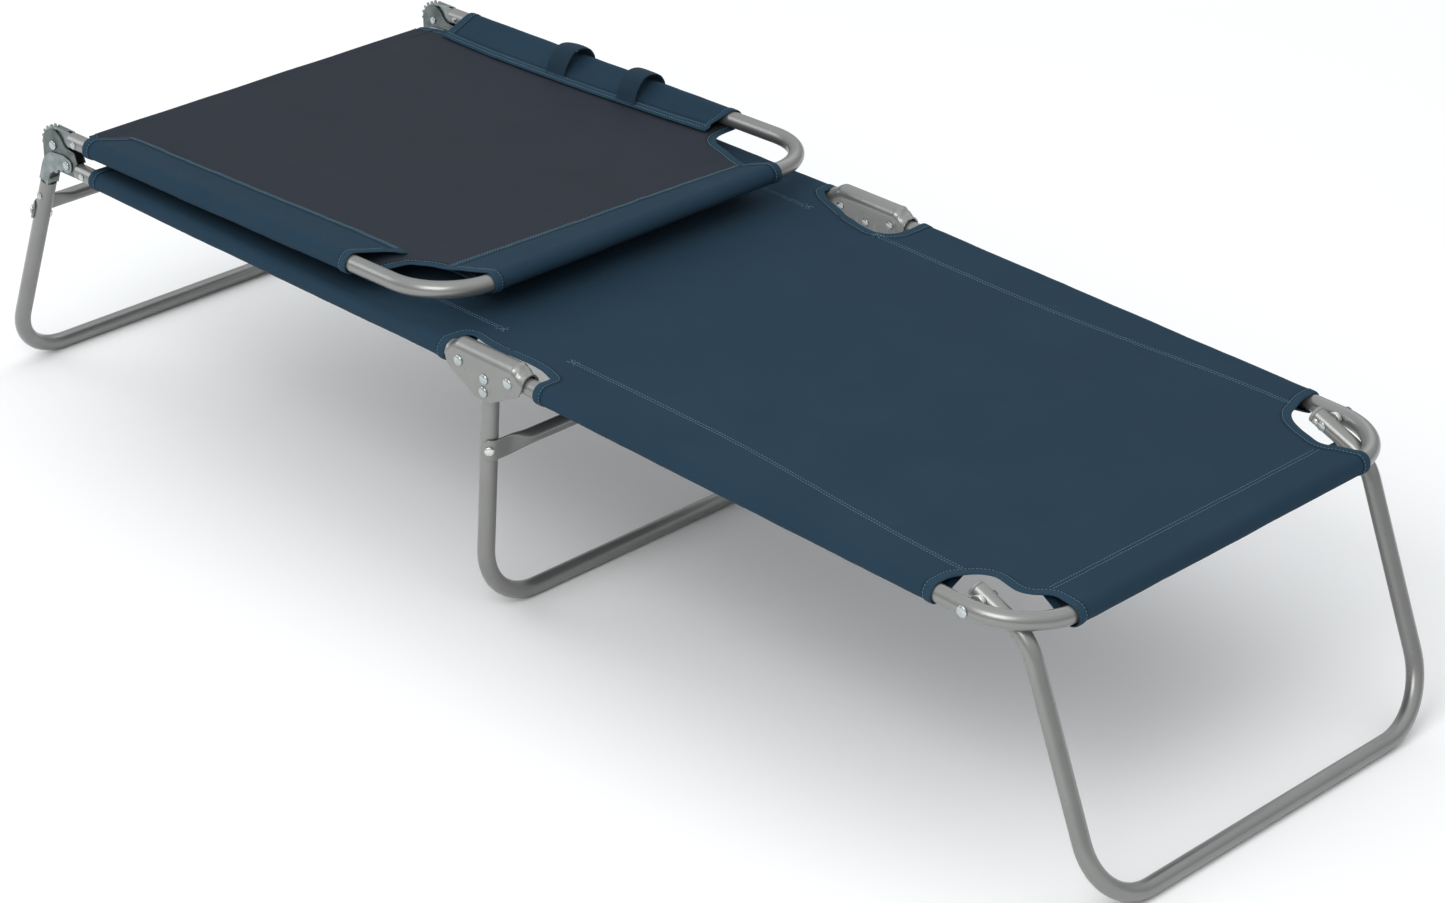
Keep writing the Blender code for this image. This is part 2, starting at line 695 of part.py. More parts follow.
def make_head_panel(bodies):
    """The folding head panel's frame and toothed plates."""
    body, z = bodies["panel"], PANEL_TUBE_Z
    corners = [
        (PANEL_TUBE_START, -RAIL_Y, z),
        (PANEL_END_X, -RAIL_Y, z),
        (PANEL_END_X, RAIL_Y, z),
        (PANEL_TUBE_START, RAIL_Y, z),
    ]
    frame = tube("head_panel_frame", body, rounded(corners, BEND_R))
    return {hand: make_toothed_plate(bodies, frame, hand, side) for hand, side in HANDS}


def make_foot_section(bodies):
    """The foot end's U-shaped frame."""
    corners = [
        (-RAIL_STUB, -RAIL_Y, 0.0),
        (FOOT_END_ALONG, -RAIL_Y, 0.0),
        (FOOT_END_ALONG, RAIL_Y, 0.0),
        (-RAIL_STUB, RAIL_Y, 0.0),
    ]
    return tube("foot_frame", bodies["foot"], rounded(corners, BEND_R))


def make_foot_leg(bodies, foot_frame):
    """The cranked foot leg, its spacers and pivots, and the caps and screws of its ends."""
    body, y = bodies["foot_leg"], FOOT_LEG_Y
    side_points = (FOOT_LEG_TOP, FOOT_LEG_KNEE, FOOT_LEG_BAR)
    right = [(x, -y, z) for x, z in side_points]
    left = [(x, y, z) for x, z in reversed(side_points)]
    radii = [0, FOOT_KNEE_R, BEND_R, BEND_R, FOOT_KNEE_R, 0]
    leg = tube("foot_leg_frame", body, rounded(right + left, radii))
    top, knee = Vector(FOOT_LEG_TOP), Vector(FOOT_LEG_KNEE)
    out = (top - knee).normalized()
    out_way = Vector((out.x, 0.0, out.y))
    between = RAIL_Y - FOOT_LEG_Y - 2 * TUBE_R
    for hand, side in HANDS:
        spacer_start = (0.0, side * (FOOT_LEG_Y + TUBE_R + GAP), 0.0)
        thick = between - GAP - SPACER_CLEAR
        spacer = round_bar(
            f"leg_spacer_{hand}", body, BRIGHT, spacer_start, (0, side, 0), SPACER_R, thick, 12
        )
        middle = (0.0, side * (RAIL_Y + FOOT_LEG_Y) / 2, 0.0)
        drill((spacer, leg, foot_frame), body, middle, (0, 1, 0), length=0.07)
        grip = RAIL_Y - FOOT_LEG_Y + 2 * TUBE_R
        rivet(f"foot_leg_rivet_{hand}", body, middle, (0, side, 0), grip, FOOT_LEG_HEAD_R)
        end = Vector((FOOT_LEG_TOP[0], side * FOOT_LEG_Y, FOOT_LEG_TOP[1]))
        cap = round_bar(f"end_cap_{hand}", body, PLASTIC, end + out_way * GAP, out_way, TUBE_R, 0.004, 12)
        plug_start = end + out_way * 0.002
        plug = round_bar(f"end_cap_plug_{hand}", body, None, plug_start, -out_way, SHANK_R, 0.0085, 10)
        join(cap, plug)
        make_cap_screw(body, leg, cap, hand, side, end - out_way * 0.0042)


def make_cap_screw(body, leg, cap, hand, side, middle):
    """The small screw on the inside of the leg that holds its end cap."""
    inward = Vector((0, -side, 0))
    start = middle + inward * (TUBE_R - 0.0048)
    drill((leg, cap), body, start, inward, radius=0.0015, length=0.0120)
    screw = round_bar(f"cap_screw_{hand}", body, BRIGHT, start, inward, 0.0012, 0.0062, 8)
    head_start = middle + inward * (TUBE_R + GAP)
    head = round_bar(f"cap_screw_head_{hand}", body, None, head_start, inward, 0.0032, 0.0016, 8)
    join(screw, head)


# ---------------------------------------------------------------- fabric

def sleeve(name, body, centre, along, start, end):
    """A hollow hem round a tube, as a helper to be joined with its sheet."""
    outer = arc(centre, SLEEVE_OUT, 18, 378 - 36, SLEEVE_SIDES - 1)
    inner = arc(centre, SLEEVE_IN, 18, 378 - 36, SLEEVE_SIDES - 1)
    plane = {"X": "YZ", "Y": "XZ"}[along]
    return prism(name, body, None, [outer, inner], plane, (start + end) / 2, end - start)


def sheet(name, body, outline, tube_z, up):
    """A thin sheet lying on one side (up is +1 or -1) of tubes whose axes are at a height."""
    middle = tube_z + up * (SHEET_UP + CLOTH / 2)
    return prism(name, body, BLUE_CLOTH, [mirrored(outline)], "XY", middle, CLOTH)


def hems_on_rails(cloth, body, start, end, tube_z):
    for hand, side in HANDS:
        name = f"{cloth.name}_hem_{hand}"
        join(cloth, sleeve(name, body, (side * RAIL_Y, tube_z), "X", start, end))


def make_bed_fabric_head(body):
    """The sheet over the head rails, from the head hinges to the middle of the brackets."""
    shift = -HEAD_PIVOT_X
    hem_start, hem_end = -0.6222 + shift, -0.0457 + shift
    outline = rounded(
        [
            (BRACKET_X - 0.0005 + shift, 0.2535),
            (hem_end + 0.010, 0.2535),
            (hem_end, 0.2610),
            (hem_end, RAIL_Y),
            (hem_start, RAIL_Y),
            (hem_start, 0.2560),
            (-0.655 + shift, 0.2480),
            (-0.672 + shift, 0.2360),
        ],
        [0, 0.006, 0.006, 0, 0, 0.006, 0.010, 0],
        3,
    )
    cloth = sheet("bed_fabric_head", body, outline, 0.0, 1)
    hems_on_rails(cloth, body, hem_start, hem_end, 0.0)


def make_bed_fabric_foot(body):
    """The sheet over the foot frame, with its corners cut out round the bends."""
    shift = -FOOT_PIVOT_X
    hem_start, hem_end = 0.081 + shift, 0.595 + shift
    end_hem = 0.206
    outline = rounded(
        [
            (FOOT_END_ALONG, end_hem),
            (0.632, end_hem),
            (0.620, 0.2200),
            (0.570, 0.2240),
            (hem_end, 0.2620),
            (hem_end, RAIL_Y),
            (hem_start, RAIL_Y),
            (hem_start, 0.2610),
            (hem_start - 0.010, 0.2535),
            (BRACKET_X + 0.0005 + shift, 0.2535),
        ],
        [0, 0.006, 0.010, 0.012, 0.006, 0, 0, 0.006, 0.006, 0],
        3,
    )
    cloth = sheet("bed_fabric_foot", body, outline, 0.0, 1)
    hems_on_rails(cloth, body, hem_start, hem_end, 0.0)
    join(cloth, sleeve("foot_end_hem", body, (FOOT_END_ALONG, 0.0), "Y", -end_hem, end_hem))


def make_panel_fabric(body):
    """The head panel's sheet, on what is its tubes' underside while the panel is folded."""
    hem_start, hem_end, end_hem = 0.050, 0.486, 0.205
    outline = rounded(
        [
            (PANEL_END_X, end_hem),
            (0.595, end_hem),
            (0.550, 0.1980),
            (0.500, 0.2200),
            (hem_end, 0.2450),
            (hem_end, RAIL_Y),
            (hem_start, RAIL_Y),
            (hem_start, 0.2560),
            (0.030, 0.2480),
            (0.010, 0.2360),
        ],
        [0, 0.010, 0.020, 0.015, 0.010, 0, 0, 0.006, 0.008, 0],
        3,
    )
    cloth = sheet("panel_fabric", body, outline, PANEL_TUBE_Z, -1)
    hems_on_rails(cloth, body, hem_start, hem_end, PANEL_TUBE_Z)
    centre = (PANEL_END_X, PANEL_TUBE_Z)
    join(cloth, sleeve("panel_end_hem", body, centre, "Y", -end_hem, end_hem))


def make_strap_loops(body):
    """Two webbing loops that stand over the left hem of the head panel."""
    top = PANEL_TUBE_Z + 0.0225
    path = [(0.2300, 0.0080), (0.2380, 0.0230), (0.2520, top - 0.001), (0.2640, top), (0.2780, 0.0300)]
    path.append((0.2870, 0.0200))
    arch = rounded(path, 0.008, 3)
    strip = ribbon([(p.x, p.y) for p in arch], 0.0014)
    for number, start, end in ((1, 0.2250, 0.2530), (2, 0.3380, 0.3660)):
        name = f"strap_loop_{number}"
        prism(name, body, BLUE_CLOTH, [strip], "YZ", (start + end) / 2, end - start)


def main():
    bodies = make_bodies()
    mid_leg = make_middle(bodies)
    rails, cheeks = make_head_section(bodies)
    toothed = make_head_panel(bodies)
    make_head_leg(bodies, cheeks, toothed)
    foot_frame = make_foot_section(bodies)
    make_foot_leg(bodies, foot_frame)
    make_brackets(rails, foot_frame, mid_leg)
    make_bed_fabric_head(bodies["head"])
    make_bed_fabric_foot(bodies["foot"])
    make_panel_fabric(bodies["panel"])
    make_strap_loops(bodies["panel"])


main()
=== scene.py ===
"""Looks of the folding cot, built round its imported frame.

World frame in metres: +X towards the foot end, -Y the sleeper's right, +Z up, floor at z = 0.
A cloth is drawn on its flat cut: "along" runs with the rails, and "out" runs out from the middle line,
round the rail and back, so that one chart says where any point of the cut lies on the frame.
"""

import math

import bmesh
import bpy
import numpy as np
from mathutils import Matrix, Vector, noise


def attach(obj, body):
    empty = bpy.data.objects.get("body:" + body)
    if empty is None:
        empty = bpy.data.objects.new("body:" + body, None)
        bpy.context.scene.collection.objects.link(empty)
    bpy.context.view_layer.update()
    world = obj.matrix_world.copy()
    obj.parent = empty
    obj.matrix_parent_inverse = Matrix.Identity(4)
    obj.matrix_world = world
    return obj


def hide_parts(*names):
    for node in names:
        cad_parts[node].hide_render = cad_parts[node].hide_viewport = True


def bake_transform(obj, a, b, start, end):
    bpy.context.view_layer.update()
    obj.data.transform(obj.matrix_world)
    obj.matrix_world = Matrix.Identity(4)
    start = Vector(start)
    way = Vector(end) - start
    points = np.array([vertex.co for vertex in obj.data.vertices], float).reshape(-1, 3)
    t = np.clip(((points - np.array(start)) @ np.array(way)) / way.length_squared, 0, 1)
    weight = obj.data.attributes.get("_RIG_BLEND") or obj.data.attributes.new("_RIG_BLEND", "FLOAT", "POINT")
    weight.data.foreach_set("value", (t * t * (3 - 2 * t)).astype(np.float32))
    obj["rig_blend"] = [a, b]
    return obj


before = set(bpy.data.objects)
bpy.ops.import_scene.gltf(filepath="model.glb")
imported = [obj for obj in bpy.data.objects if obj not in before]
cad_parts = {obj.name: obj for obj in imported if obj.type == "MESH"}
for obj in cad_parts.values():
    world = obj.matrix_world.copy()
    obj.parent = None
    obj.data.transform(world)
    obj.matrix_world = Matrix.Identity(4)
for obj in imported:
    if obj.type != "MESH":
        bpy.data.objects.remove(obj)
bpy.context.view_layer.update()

# The frame's driving sizes
TUBE_R = 0.009
TUBE_WALL = 0.001
BEND_R = 0.070
RAIL_Y = 0.275
GAP = 0.0003
BED_Z = 0.283
BRACKET_X = 0.0113
HEAD_PIVOT_X = -0.024
FOOT_PIVOT_X = 0.0466
RAIL_STUB = 0.010
FOOT_FALL = math.radians(1.06)
MID_LEG_TILT = math.radians(2.4)
MID_LEG_LENGTH = 0.278
MID_BRACE_UP = 0.188
HUB = (-0.679, 0.3032)
HEAD_RAIL_START_X = -0.640
RAIL_RIVET_X = -0.627
PANEL_RISE = math.radians(1.3)
PANEL_TUBE_Z = 0.012
PANEL_TUBE_START = 0.029
PANEL_RIVET_X = 0.0406
PANEL_END_X = 0.6174
HEAD_LEG = (-0.6544, 0.2875)
HEAD_LEG_TILT = math.radians(19.1)
HEAD_LEG_OFFSET = -0.0305
HEAD_LEG_TOP = -0.045
HEAD_LEG_BAR = -0.3053
HEAD_SHANK_RIVET = -0.065
HEAD_BRACE_DOWN = -0.090
FOOT_LEG_ALONG = 0.584
FOOT_END_ALONG = 0.6532
FOOT_LEG_Y = 0.2500
FOOT_LEG_TOP = (-0.011, 0.004)
FOOT_LEG_KNEE = (0.050, -0.0200)
FOOT_LEG_BAR = (0.1529, -0.2629)
FOOT_KNEE_R = 0.050
HANDS = (("right", -1), ("left", 1))


def turned_frame(x, z, tilt=0.0):
    """The frame of a body whose joint's axis runs along Y through (x, z)."""
    return Matrix.Translation((x, 0.0, z)) @ Matrix.Rotation(tilt, 4, "Y")


HEAD = turned_frame(HEAD_PIVOT_X, BED_Z)
FOOT = turned_frame(FOOT_PIVOT_X, BED_Z, FOOT_FALL)
PANEL = turned_frame(*HUB, -PANEL_RISE)
HEAD_LEG_FRAME = turned_frame(*HEAD_LEG, HEAD_LEG_TILT)
MID_LEG_FRAME = turned_frame(0.0, TUBE_R, MID_LEG_TILT)
FOOT_LEG_AT = FOOT @ Vector((FOOT_LEG_ALONG, 0.0, 0.0))
FOOT_LEG_FRAME = Matrix.Translation(FOOT_LEG_AT)
FOOT_BAR = FOOT @ Vector((FOOT_END_ALONG, 0.0, 0.0))


# ---------------------------------------------------------------- materials

class Nodes:
    """A material's node tree, with short ways to add and link nodes."""

    def __init__(self, name):
        self.material = bpy.data.materials.new(name)
        self.material.use_nodes = True
        self.tree = self.material.node_tree
        self.shader = self.tree.nodes["Principled BSDF"]

    def add(self, kind, **values):
        node = self.tree.nodes.new(kind)
        for key, value in values.items():
            setattr(node, key, value)
        return node

    def link(self, source, target):
        self.tree.links.new(source, target)

    def noise(self, vector, scale, detail=2.0, rough=0.5):
        node = self.add("ShaderNodeTexNoise")
        node.inputs["Scale"].default_value = scale
        node.inputs["Detail"].default_value = detail
        node.inputs["Roughness"].default_value = rough
        self.link(vector, node.inputs["Vector"])
        return node.outputs["Fac"]

    def spread(self, value, low_in, high_in, low_out, high_out):
        node = self.add("ShaderNodeMapRange")
        for socket, number in zip(("From Min", "From Max", "To Min", "To Max"),
                                  (low_in, high_in, low_out, high_out)):
            node.inputs[socket].default_value = number
        self.link(value, node.inputs["Value"])
        return node.outputs["Result"]

    def maths(self, operation, one, two):
        node = self.add("ShaderNodeMath", operation=operation)
        for socket, value in zip(node.inputs, (one, two)):
            if isinstance(value, (int, float)):
                socket.default_value = value
            else:
                self.link(value, socket)
        return node.outputs[0]

    def mix(self, share, one, two):
        node = self.add("ShaderNodeMix", data_type="RGBA")
        self.link(share, node.inputs["Factor"])
        for socket, value in ((node.inputs[6], one), (node.inputs[7], two)):
            if isinstance(value, tuple):
                socket.default_value = (*value, 1.0)
            else:
                self.link(value, socket)
        return node.outputs[2]

    def colour(self, value):
        self.link(value, self.shader.inputs["Base Color"])

    def rough(self, value, low, high):
        """Roughness from low to high over the usual range of a noise."""
        self.link(self.spread(value, 0.3, 0.7, low, high), self.shader.inputs["Roughness"])

    def bump(self, height, strength, distance):
        node = self.add("ShaderNodeBump")
        node.inputs["Strength"].default_value = strength
        node.inputs["Distance"].default_value = distance
        self.link(height, node.inputs["Height"])
        self.link(node.outputs["Normal"], self.shader.inputs["Normal"])

    def place(self):
        return self.add("ShaderNodeTexCoord").outputs["Object"]

    def set(self, **values):
        for key, value in values.items():
            socket = self.shader.inputs[key.replace("_", " ")]
            socket.default_value = (*value, 1.0) if isinstance(value, tuple) else value


def paint_material():
    """Satin silver-grey powder coat: fine orange peel, faint cloudiness and scuffs."""
    made = Nodes("frame_paint")
    place = made.place()
    cloud = made.noise(place, 22.0, 3.0)
    scuff = made.noise(place, 310.0, 4.0, 0.7)
    colour = made.mix(cloud, (0.218, 0.220, 0.212), (0.264, 0.267, 0.257))
    marks = made.spread(scuff, 0.66, 0.74, 0.0, 0.35)
    made.colour(made.mix(marks, colour, (0.34, 0.34, 0.33)))
    made.rough(scuff, 0.27, 0.36)
    made.set(Metallic=0.65, Coat_Weight=0.25, Coat_Roughness=0.2)
    made.bump(made.noise(place, 1400.0, 1.0), 0.12, 0.0004)
    return made.material


def zinc_material(name, low, high, roughness):
    """Zinc plating: cloudy bluish passivation over fine rolling marks."""
    made = Nodes(name)
    place = made.place()
    cloud = made.noise(place, 75.0, 4.0, 0.6)
    made.colour(made.mix(made.spread(cloud, 0.35, 0.65, 0.0, 1.0), low, high))
    stretch = made.add("ShaderNodeMapping")
    stretch.inputs["Scale"].default_value = (1.0, 1.0, 9.0)
    made.link(place, stretch.inputs["Vector"])
    lines = made.noise(stretch.outputs["Vector"], 240.0, 3.0, 0.65)
    made.rough(lines, roughness - 0.06, roughness + 0.09)
    made.set(Metallic=0.9)
    made.bump(lines, 0.18, 0.0002)
    return made.material


def plastic_material():
    """Grey moulded caps with a fine spark-eroded grain."""
    made = Nodes("cap_plastic")
    place = made.place()
    grain = made.noise(place, 1800.0, 2.0)
    made.colour(made.mix(made.noise(place, 90.0, 3.0), (0.20, 0.205, 0.20), (0.27, 0.275, 0.265)))
    made.rough(grain, 0.42, 0.56)
    made.bump(grain, 0.25, 0.0003)
    return made.material


WEAVE_PITCH = 0.0011
RIB_PITCH = 0.0016
TURNED_EDGE = 0.0090          # how far a cut edge is turned in, to its stitching


def weave(made, place):
    """Height of a plain weave: two crossed sets of round threads, one over the other."""
    split = made.add("ShaderNodeSeparateXYZ")
    made.link(place, split.inputs[0])
    turn = math.tau / WEAVE_PITCH
    lengthways = made.maths("SINE", made.maths("MULTIPLY", split.outputs["X"], turn), 0.0)
    crossways = made.maths("SINE", made.maths("MULTIPLY", split.outputs["Y"], turn), 0.0)
    return made.maths("MULTIPLY", lengthways, crossways)


def cloth_material(name, dark, light, edge_light, roughness, sheen, weave_strength=0.35):
    """Coated polyester: weave, slubs, cloudy wear, a lighter worn line along its cut edges, and painted shade
    along the step just inside their stitching.
    """
    made = Nodes(name)
    place = made.place()
    height = weave(made, place)
    cloud = made.noise(place, 11.0, 4.0, 0.6)
    slub = made.noise(place, 420.0, 3.0, 0.65)
    tone = made.maths("ADD", made.spread(cloud, 0.3, 0.7, 0.1, 0.6),
                      made.spread(slub, 0.3, 0.7, 0.0, 0.4))
    away = made.add("ShaderNodeAttribute", attribute_name="edge").outputs["Fac"]
    edge = TURNED_EDGE
    worn = made.maths("MULTIPLY", made.spread(away, edge - 0.0004, edge - 0.0030, 0.0, 0.6),
                      made.spread(slub, 0.3, 0.7, 0.3, 1.0))
    # Painted shade: a dark band about 9 to 13 mm in from the cut, just inside the stitch line, stands in for
    # the shadow where the turned edge steps down to the sheet.
    seam_shade = made.maths("MULTIPLY", made.spread(away, edge, edge + 0.0012, 0.0, 0.6),
                      made.spread(away, edge + 0.0040, edge + 0.0018, 0.0, 1.0))
    colour = made.mix(worn, made.mix(tone, dark, light), edge_light)
    made.colour(made.mix(seam_shade, colour, tuple(0.45 * part for part in dark)))
    made.rough(slub, roughness - 0.06, roughness + 0.06)
    made.set(Sheen_Weight=sheen, Sheen_Roughness=0.45, Specular_IOR_Level=0.08)
    made.bump(made.maths("ADD", height, made.maths("MULTIPLY", slub, 1.6)), weave_strength, 0.0004)
    return made.material


def thread_material():
    """Sewing thread, a little lighter than the cloth, with its twist."""
    made = Nodes("thread")
    place = made.place()
    twist = made.noise(place, 2600.0, 2.0)
    made.colour(made.mix(twist, (0.050, 0.116, 0.154), (0.093, 0.182, 0.232)))
    made.set(Roughness=0.7, Sheen_Weight=0.2)
    made.bump(twist, 0.4, 0.0002)
    return made.material


def webbing_material():
    """Ribbed webbing: rows across the strap."""
    made = Nodes("webbing")
    place = made.place()
    split = made.add("ShaderNodeSeparateXYZ")
    made.link(place, split.inputs[0])
    rib = made.maths("SINE", made.maths("MULTIPLY", split.outputs["X"], math.tau / RIB_PITCH), 0.0)
    grain = made.noise(place, 600.0, 3.0)
    made.colour(made.mix(grain, (0.0105, 0.0260, 0.0425), (0.0165, 0.0385, 0.0610)))
    made.rough(grain, 0.72, 0.88)
    made.set(Sheen_Weight=0.02, Specular_IOR_Level=0.12)
    made.bump(made.maths("ADD", rib, grain), 0.4, 0.0004)
    return made.material


PAINT = paint_material()
ZINC = zinc_material("hinge_zinc", (0.088, 0.103, 0.101), (0.160, 0.183, 0.179), 0.31)
PALE_ZINC = zinc_material("fork_zinc", (0.185, 0.215, 0.212), (0.29, 0.33, 0.324), 0.32)
RIVET_ZINC = zinc_material("rivet_zinc", (0.38, 0.42, 0.43), (0.52, 0.56, 0.565), 0.20)
BRIGHT = zinc_material("bright_steel", (0.55, 0.56, 0.55), (0.70, 0.70, 0.68), 0.22)
PLASTIC = plastic_material()
CLOTH = cloth_material("bed_cloth", (0.0134, 0.0340, 0.0556), (0.0178, 0.0425, 0.0690),
                       (0.025, 0.060, 0.090), 0.80, 0.01)
COATED = cloth_material("coated_underside", (0.0190, 0.0246, 0.0338), (0.0243, 0.0303, 0.0410),
                        (0.026, 0.032, 0.043), 0.68, 0.01, 0.2)
SHEET = [CLOTH, COATED, CLOTH, CLOTH]        # blue face, coated face, turned edge, its back
THREAD = thread_material()
WEBBING = webbing_material()


# ---------------------------------------------------------------- shapes

def rounded(points, radii, steps=18):
    """A path with each inner corner turned into an arc."""
    vectors = [Vector(point) for point in points]
    if not isinstance(radii, (list, tuple)):
        radii = [radii] * len(vectors)
    result = []
    for index, corner in enumerate(vectors):
        if index in (0, len(vectors) - 1) or radii[index] <= 0:
            result.append(corner)
            continue
        back = (vectors[index - 1] - corner).normalized()
        ahead = (vectors[index + 1] - corner).normalized()
        half_angle = back.angle(ahead) / 2
        centre = corner + (back + ahead).normalized() * (radii[index] / math.sin(half_angle))
        first = corner + back * (radii[index] / math.tan(half_angle)) - centre
        last = corner + ahead * (radii[index] / math.tan(half_angle)) - centre
        sweep = first.angle(last)
        for step in range(steps + 1):
            one = math.sin((1 - step / steps) * sweep) / math.sin(sweep)
            two = math.sin(step / steps * sweep) / math.sin(sweep)
            result.append(centre + first * one + last * two)
    return result


def arc(centre, radius, start, end, steps):
    turns = [math.radians(start + (end - start) * step / steps) for step in range(steps + 1)]
    return [(centre[0] + radius * math.cos(a), centre[1] + radius * math.sin(a)) for a in turns]


def smooth_step(low, high, value):
    share = min(max((value - low) / (high - low), 0.0), 1.0)
    return share * share * (3 - 2 * share)


def curve_line(points, step=0.002):
    """A smooth line through points in a plane (Catmull-Rom), closely sampled."""
    nodes = [np.array(point, float) for point in points]
    nodes = [2 * nodes[0] - nodes[1], *nodes, 2 * nodes[-1] - nodes[-2]]
    line = []
    for a, b, c, d in zip(nodes, nodes[1:], nodes[2:], nodes[3:]):
        count = max(2, int(np.linalg.norm(c - b) / step))
        for index in range(count):
            t = index / count
            line.append(0.5 * (2 * b + (c - a) * t + (2 * a - 5 * b + 4 * c - d) * t * t
                               + (3 * b - a - 3 * c + d) * t ** 3))
    line.append(nodes[-2])
    return np.array(line)


def add_piece(name, mesh, materials, body=None, replaces=(), sharp=40):
    """Links a mesh as a piece, smooth but for its sharp edges."""
    obj = bpy.data.objects.new(name, mesh)
    bpy.context.scene.collection.objects.link(obj)
    if len(mesh.materials) != len(materials):
        mesh.materials.clear()
        for material in materials:
            mesh.materials.append(material)
    mesh.shade_smooth()
    mesh.set_sharp_from_angle(angle=math.radians(sharp))
    if body:
        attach(obj, body)
    if replaces:
        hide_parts(*replaces)
    return obj


def evaluated(obj):
    """The evaluated mesh of an object, which is removed."""
    bpy.context.scene.collection.objects.link(obj)
    bpy.context.view_layer.update()
    graph = bpy.context.evaluated_depsgraph_get()
    mesh = bpy.data.meshes.new_from_object(obj.evaluated_get(graph))
    bpy.data.objects.remove(obj, do_unlink=True)
    return mesh


def welded(obj):
    """The evaluated mesh of an object, with its doubled points merged."""
    shape = bmesh.new()
    shape.from_mesh(evaluated(obj))
    bmesh.ops.remove_doubles(shape, verts=shape.verts, dist=1e-6)
    return finished(shape)


def finished(shape, outward=True):
    """The mesh of a bmesh, which is freed."""
    if outward:
        bmesh.ops.recalc_face_normals(shape, faces=shape.faces)
    mesh = bpy.data.meshes.new("shape")
    shape.to_mesh(mesh)
    shape.free()
    return mesh


def skin(shape, rows, closed=False):
    """Faces between rows of vertices. Closed rows go round, and a row of one vertex is a pole."""
    for low, high in zip(rows, rows[1:]):
        if not closed:
            for side in range(len(low) - 1):
                shape.faces.new((low[side], high[side], high[side + 1], low[side + 1]))
            continue
        for side in range(max(len(low), len(high))):
            ring = ((low, side), (low, side + 1), (high, side + 1), (high, side))
            corners = [row[place % len(row)] for row, place in ring]
            shape.faces.new(list(dict.fromkeys(corners)))


def with_modifier(mesh, kind, make=welded, **values):
    """The mesh that a modifier makes of this one."""
    obj = bpy.data.objects.new("shaping", mesh)
    modifier = obj.modifiers.new("shaping", kind)
    for key, value in values.items():
        setattr(modifier, key, value)
    return make(obj)


def curve_mesh(loops, closed=False, **values):
    """The mesh of a curve through each loop's points, with the curve's own settings."""
    curve = bpy.data.curves.new("curve", "CURVE")
    for key, value in values.items():
        setattr(curve, key, value)
    for loop in loops:
        spline = curve.splines.new("POLY")
        spline.points.add(len(loop) - 1)
        for point, place in zip(spline.points, loop):
            point.co = (*place, 1.0)
        spline.use_cyclic_u = closed
    return welded(bpy.data.objects.new("curve", curve))


def facing(way):
    """The turn that points Z along a direction."""
    return Vector(way).normalized().to_track_quat("Z", "Y").to_matrix().to_4x4()


TUBE_SIDES = 32
EDGE_ROUND = 0.0003


def tube(name, body, matrix, points):
    """A bent tube with its wall, open at its ends, in a body's own frame."""
    mesh = curve_mesh([[matrix @ Vector(point) for point in points]], dimensions="3D",
                      bevel_depth=TUBE_R, bevel_resolution=(TUBE_SIDES - 4) // 2)
    mesh = with_modifier(mesh, "SOLIDIFY", thickness=TUBE_WALL, offset=-1.0, use_even_offset=True)
    return add_piece(f"{name}_tube", mesh, [PAINT], body, [name])


def lathe(profile, sides=28):
    """A closed turned mesh about Z, from a profile of (radius, height) between two points on the axis."""
    shape = bmesh.new()
    turns = [math.tau * side / sides for side in range(sides)]
    rings = []
    for radius, height in profile:
        around = turns if radius > 1e-7 else [0.0]
        rings.append([shape.verts.new((radius * math.cos(a), radius * math.sin(a), height)) for a in around])
    skin(shape, rings, closed=True)
    return finished(shape)


PIN_R = 0.003


def dome(radius, height, base, way=1):
    """Profile points of a domed head, from its rim to its crown, standing on a base height."""
    lip = height * 0.22
    points = [(radius, base), (radius, base + way * lip)]
    for step in range(1, 7):
        a = math.pi / 2 * step / 6
        points.append((radius * math.cos(a), base + way * (lip + (height - lip) * math.sin(a))))
    return points


def rivet(name, body, middle, way, grip, head_r, head_h=0.0020, material=RIVET_ZINC,
          slot="zinc_rivets"):
    """A domed rivet through a point in the world; its formed head is at the end that way points to."""
    half = grip / 2 + GAP
    head = dome(head_r, head_h, half)
    shop = dome(head_r * 0.8, head_h * 0.7, -half, -1)
    profile = [(0.0, head[-1][1])] + head[::-1][1:] + [(PIN_R, half), (PIN_R, -half)] + shop[:-1]
    profile.append((0.0, shop[-1][1]))
    mesh = lathe(profile)
    mesh.transform(Matrix.Translation(middle) @ facing(way))
    return add_piece(f"{name}_domed", mesh, [material], body, [name])


def plate_mesh(loops, middle, thick):
    """A flat plate in the XZ plane with rounded edges, from its outline and holes, about y = middle."""
    mesh = curve_mesh([[(u, v, 0.0) for u, v in loop] for loop in loops], True, dimensions="2D",
                      fill_mode="BOTH", extrude=thick / 2 - EDGE_ROUND, bevel_depth=EDGE_ROUND,
                      bevel_resolution=2, offset=-EDGE_ROUND)
    mesh.transform(Matrix.Translation((0.0, middle, 0.0)) @ Matrix.Rotation(math.pi / 2, 4, "X"))
    return mesh


def block_mesh(low, high, edge=0.0005):
    """A box with rounded edges."""
    shape = bmesh.new()
    bmesh.ops.create_cube(shape, size=1.0)
    low, high = Vector(low), Vector(high)
    bmesh.ops.transform(shape, verts=shape.verts,
                        matrix=Matrix.Translation((low + high) / 2) @ Matrix.Diagonal((*(high - low), 1.0)))
    bmesh.ops.bevel(shape, geom=shape.edges, offset=edge, segments=3, affect="EDGES", profile=0.5)
    return finished(shape, outward=False)


def bar_mesh(start, way, radius, length, edge=0.0006):
    """A round bar with rounded end edges, from a point along a direction."""
    corner = [(radius - edge + edge * math.sin(a), edge - edge * math.cos(a))
              for a in (0.0, math.pi / 6, math.pi / 3, math.pi / 2)]
    profile = [(0.0, 0.0)] + corner + [(r, length - h) for r, h in reversed(corner)] + [(0.0, length)]
    mesh = lathe(profile)
    mesh.transform(Matrix.Translation(start) @ facing(way))
    return mesh


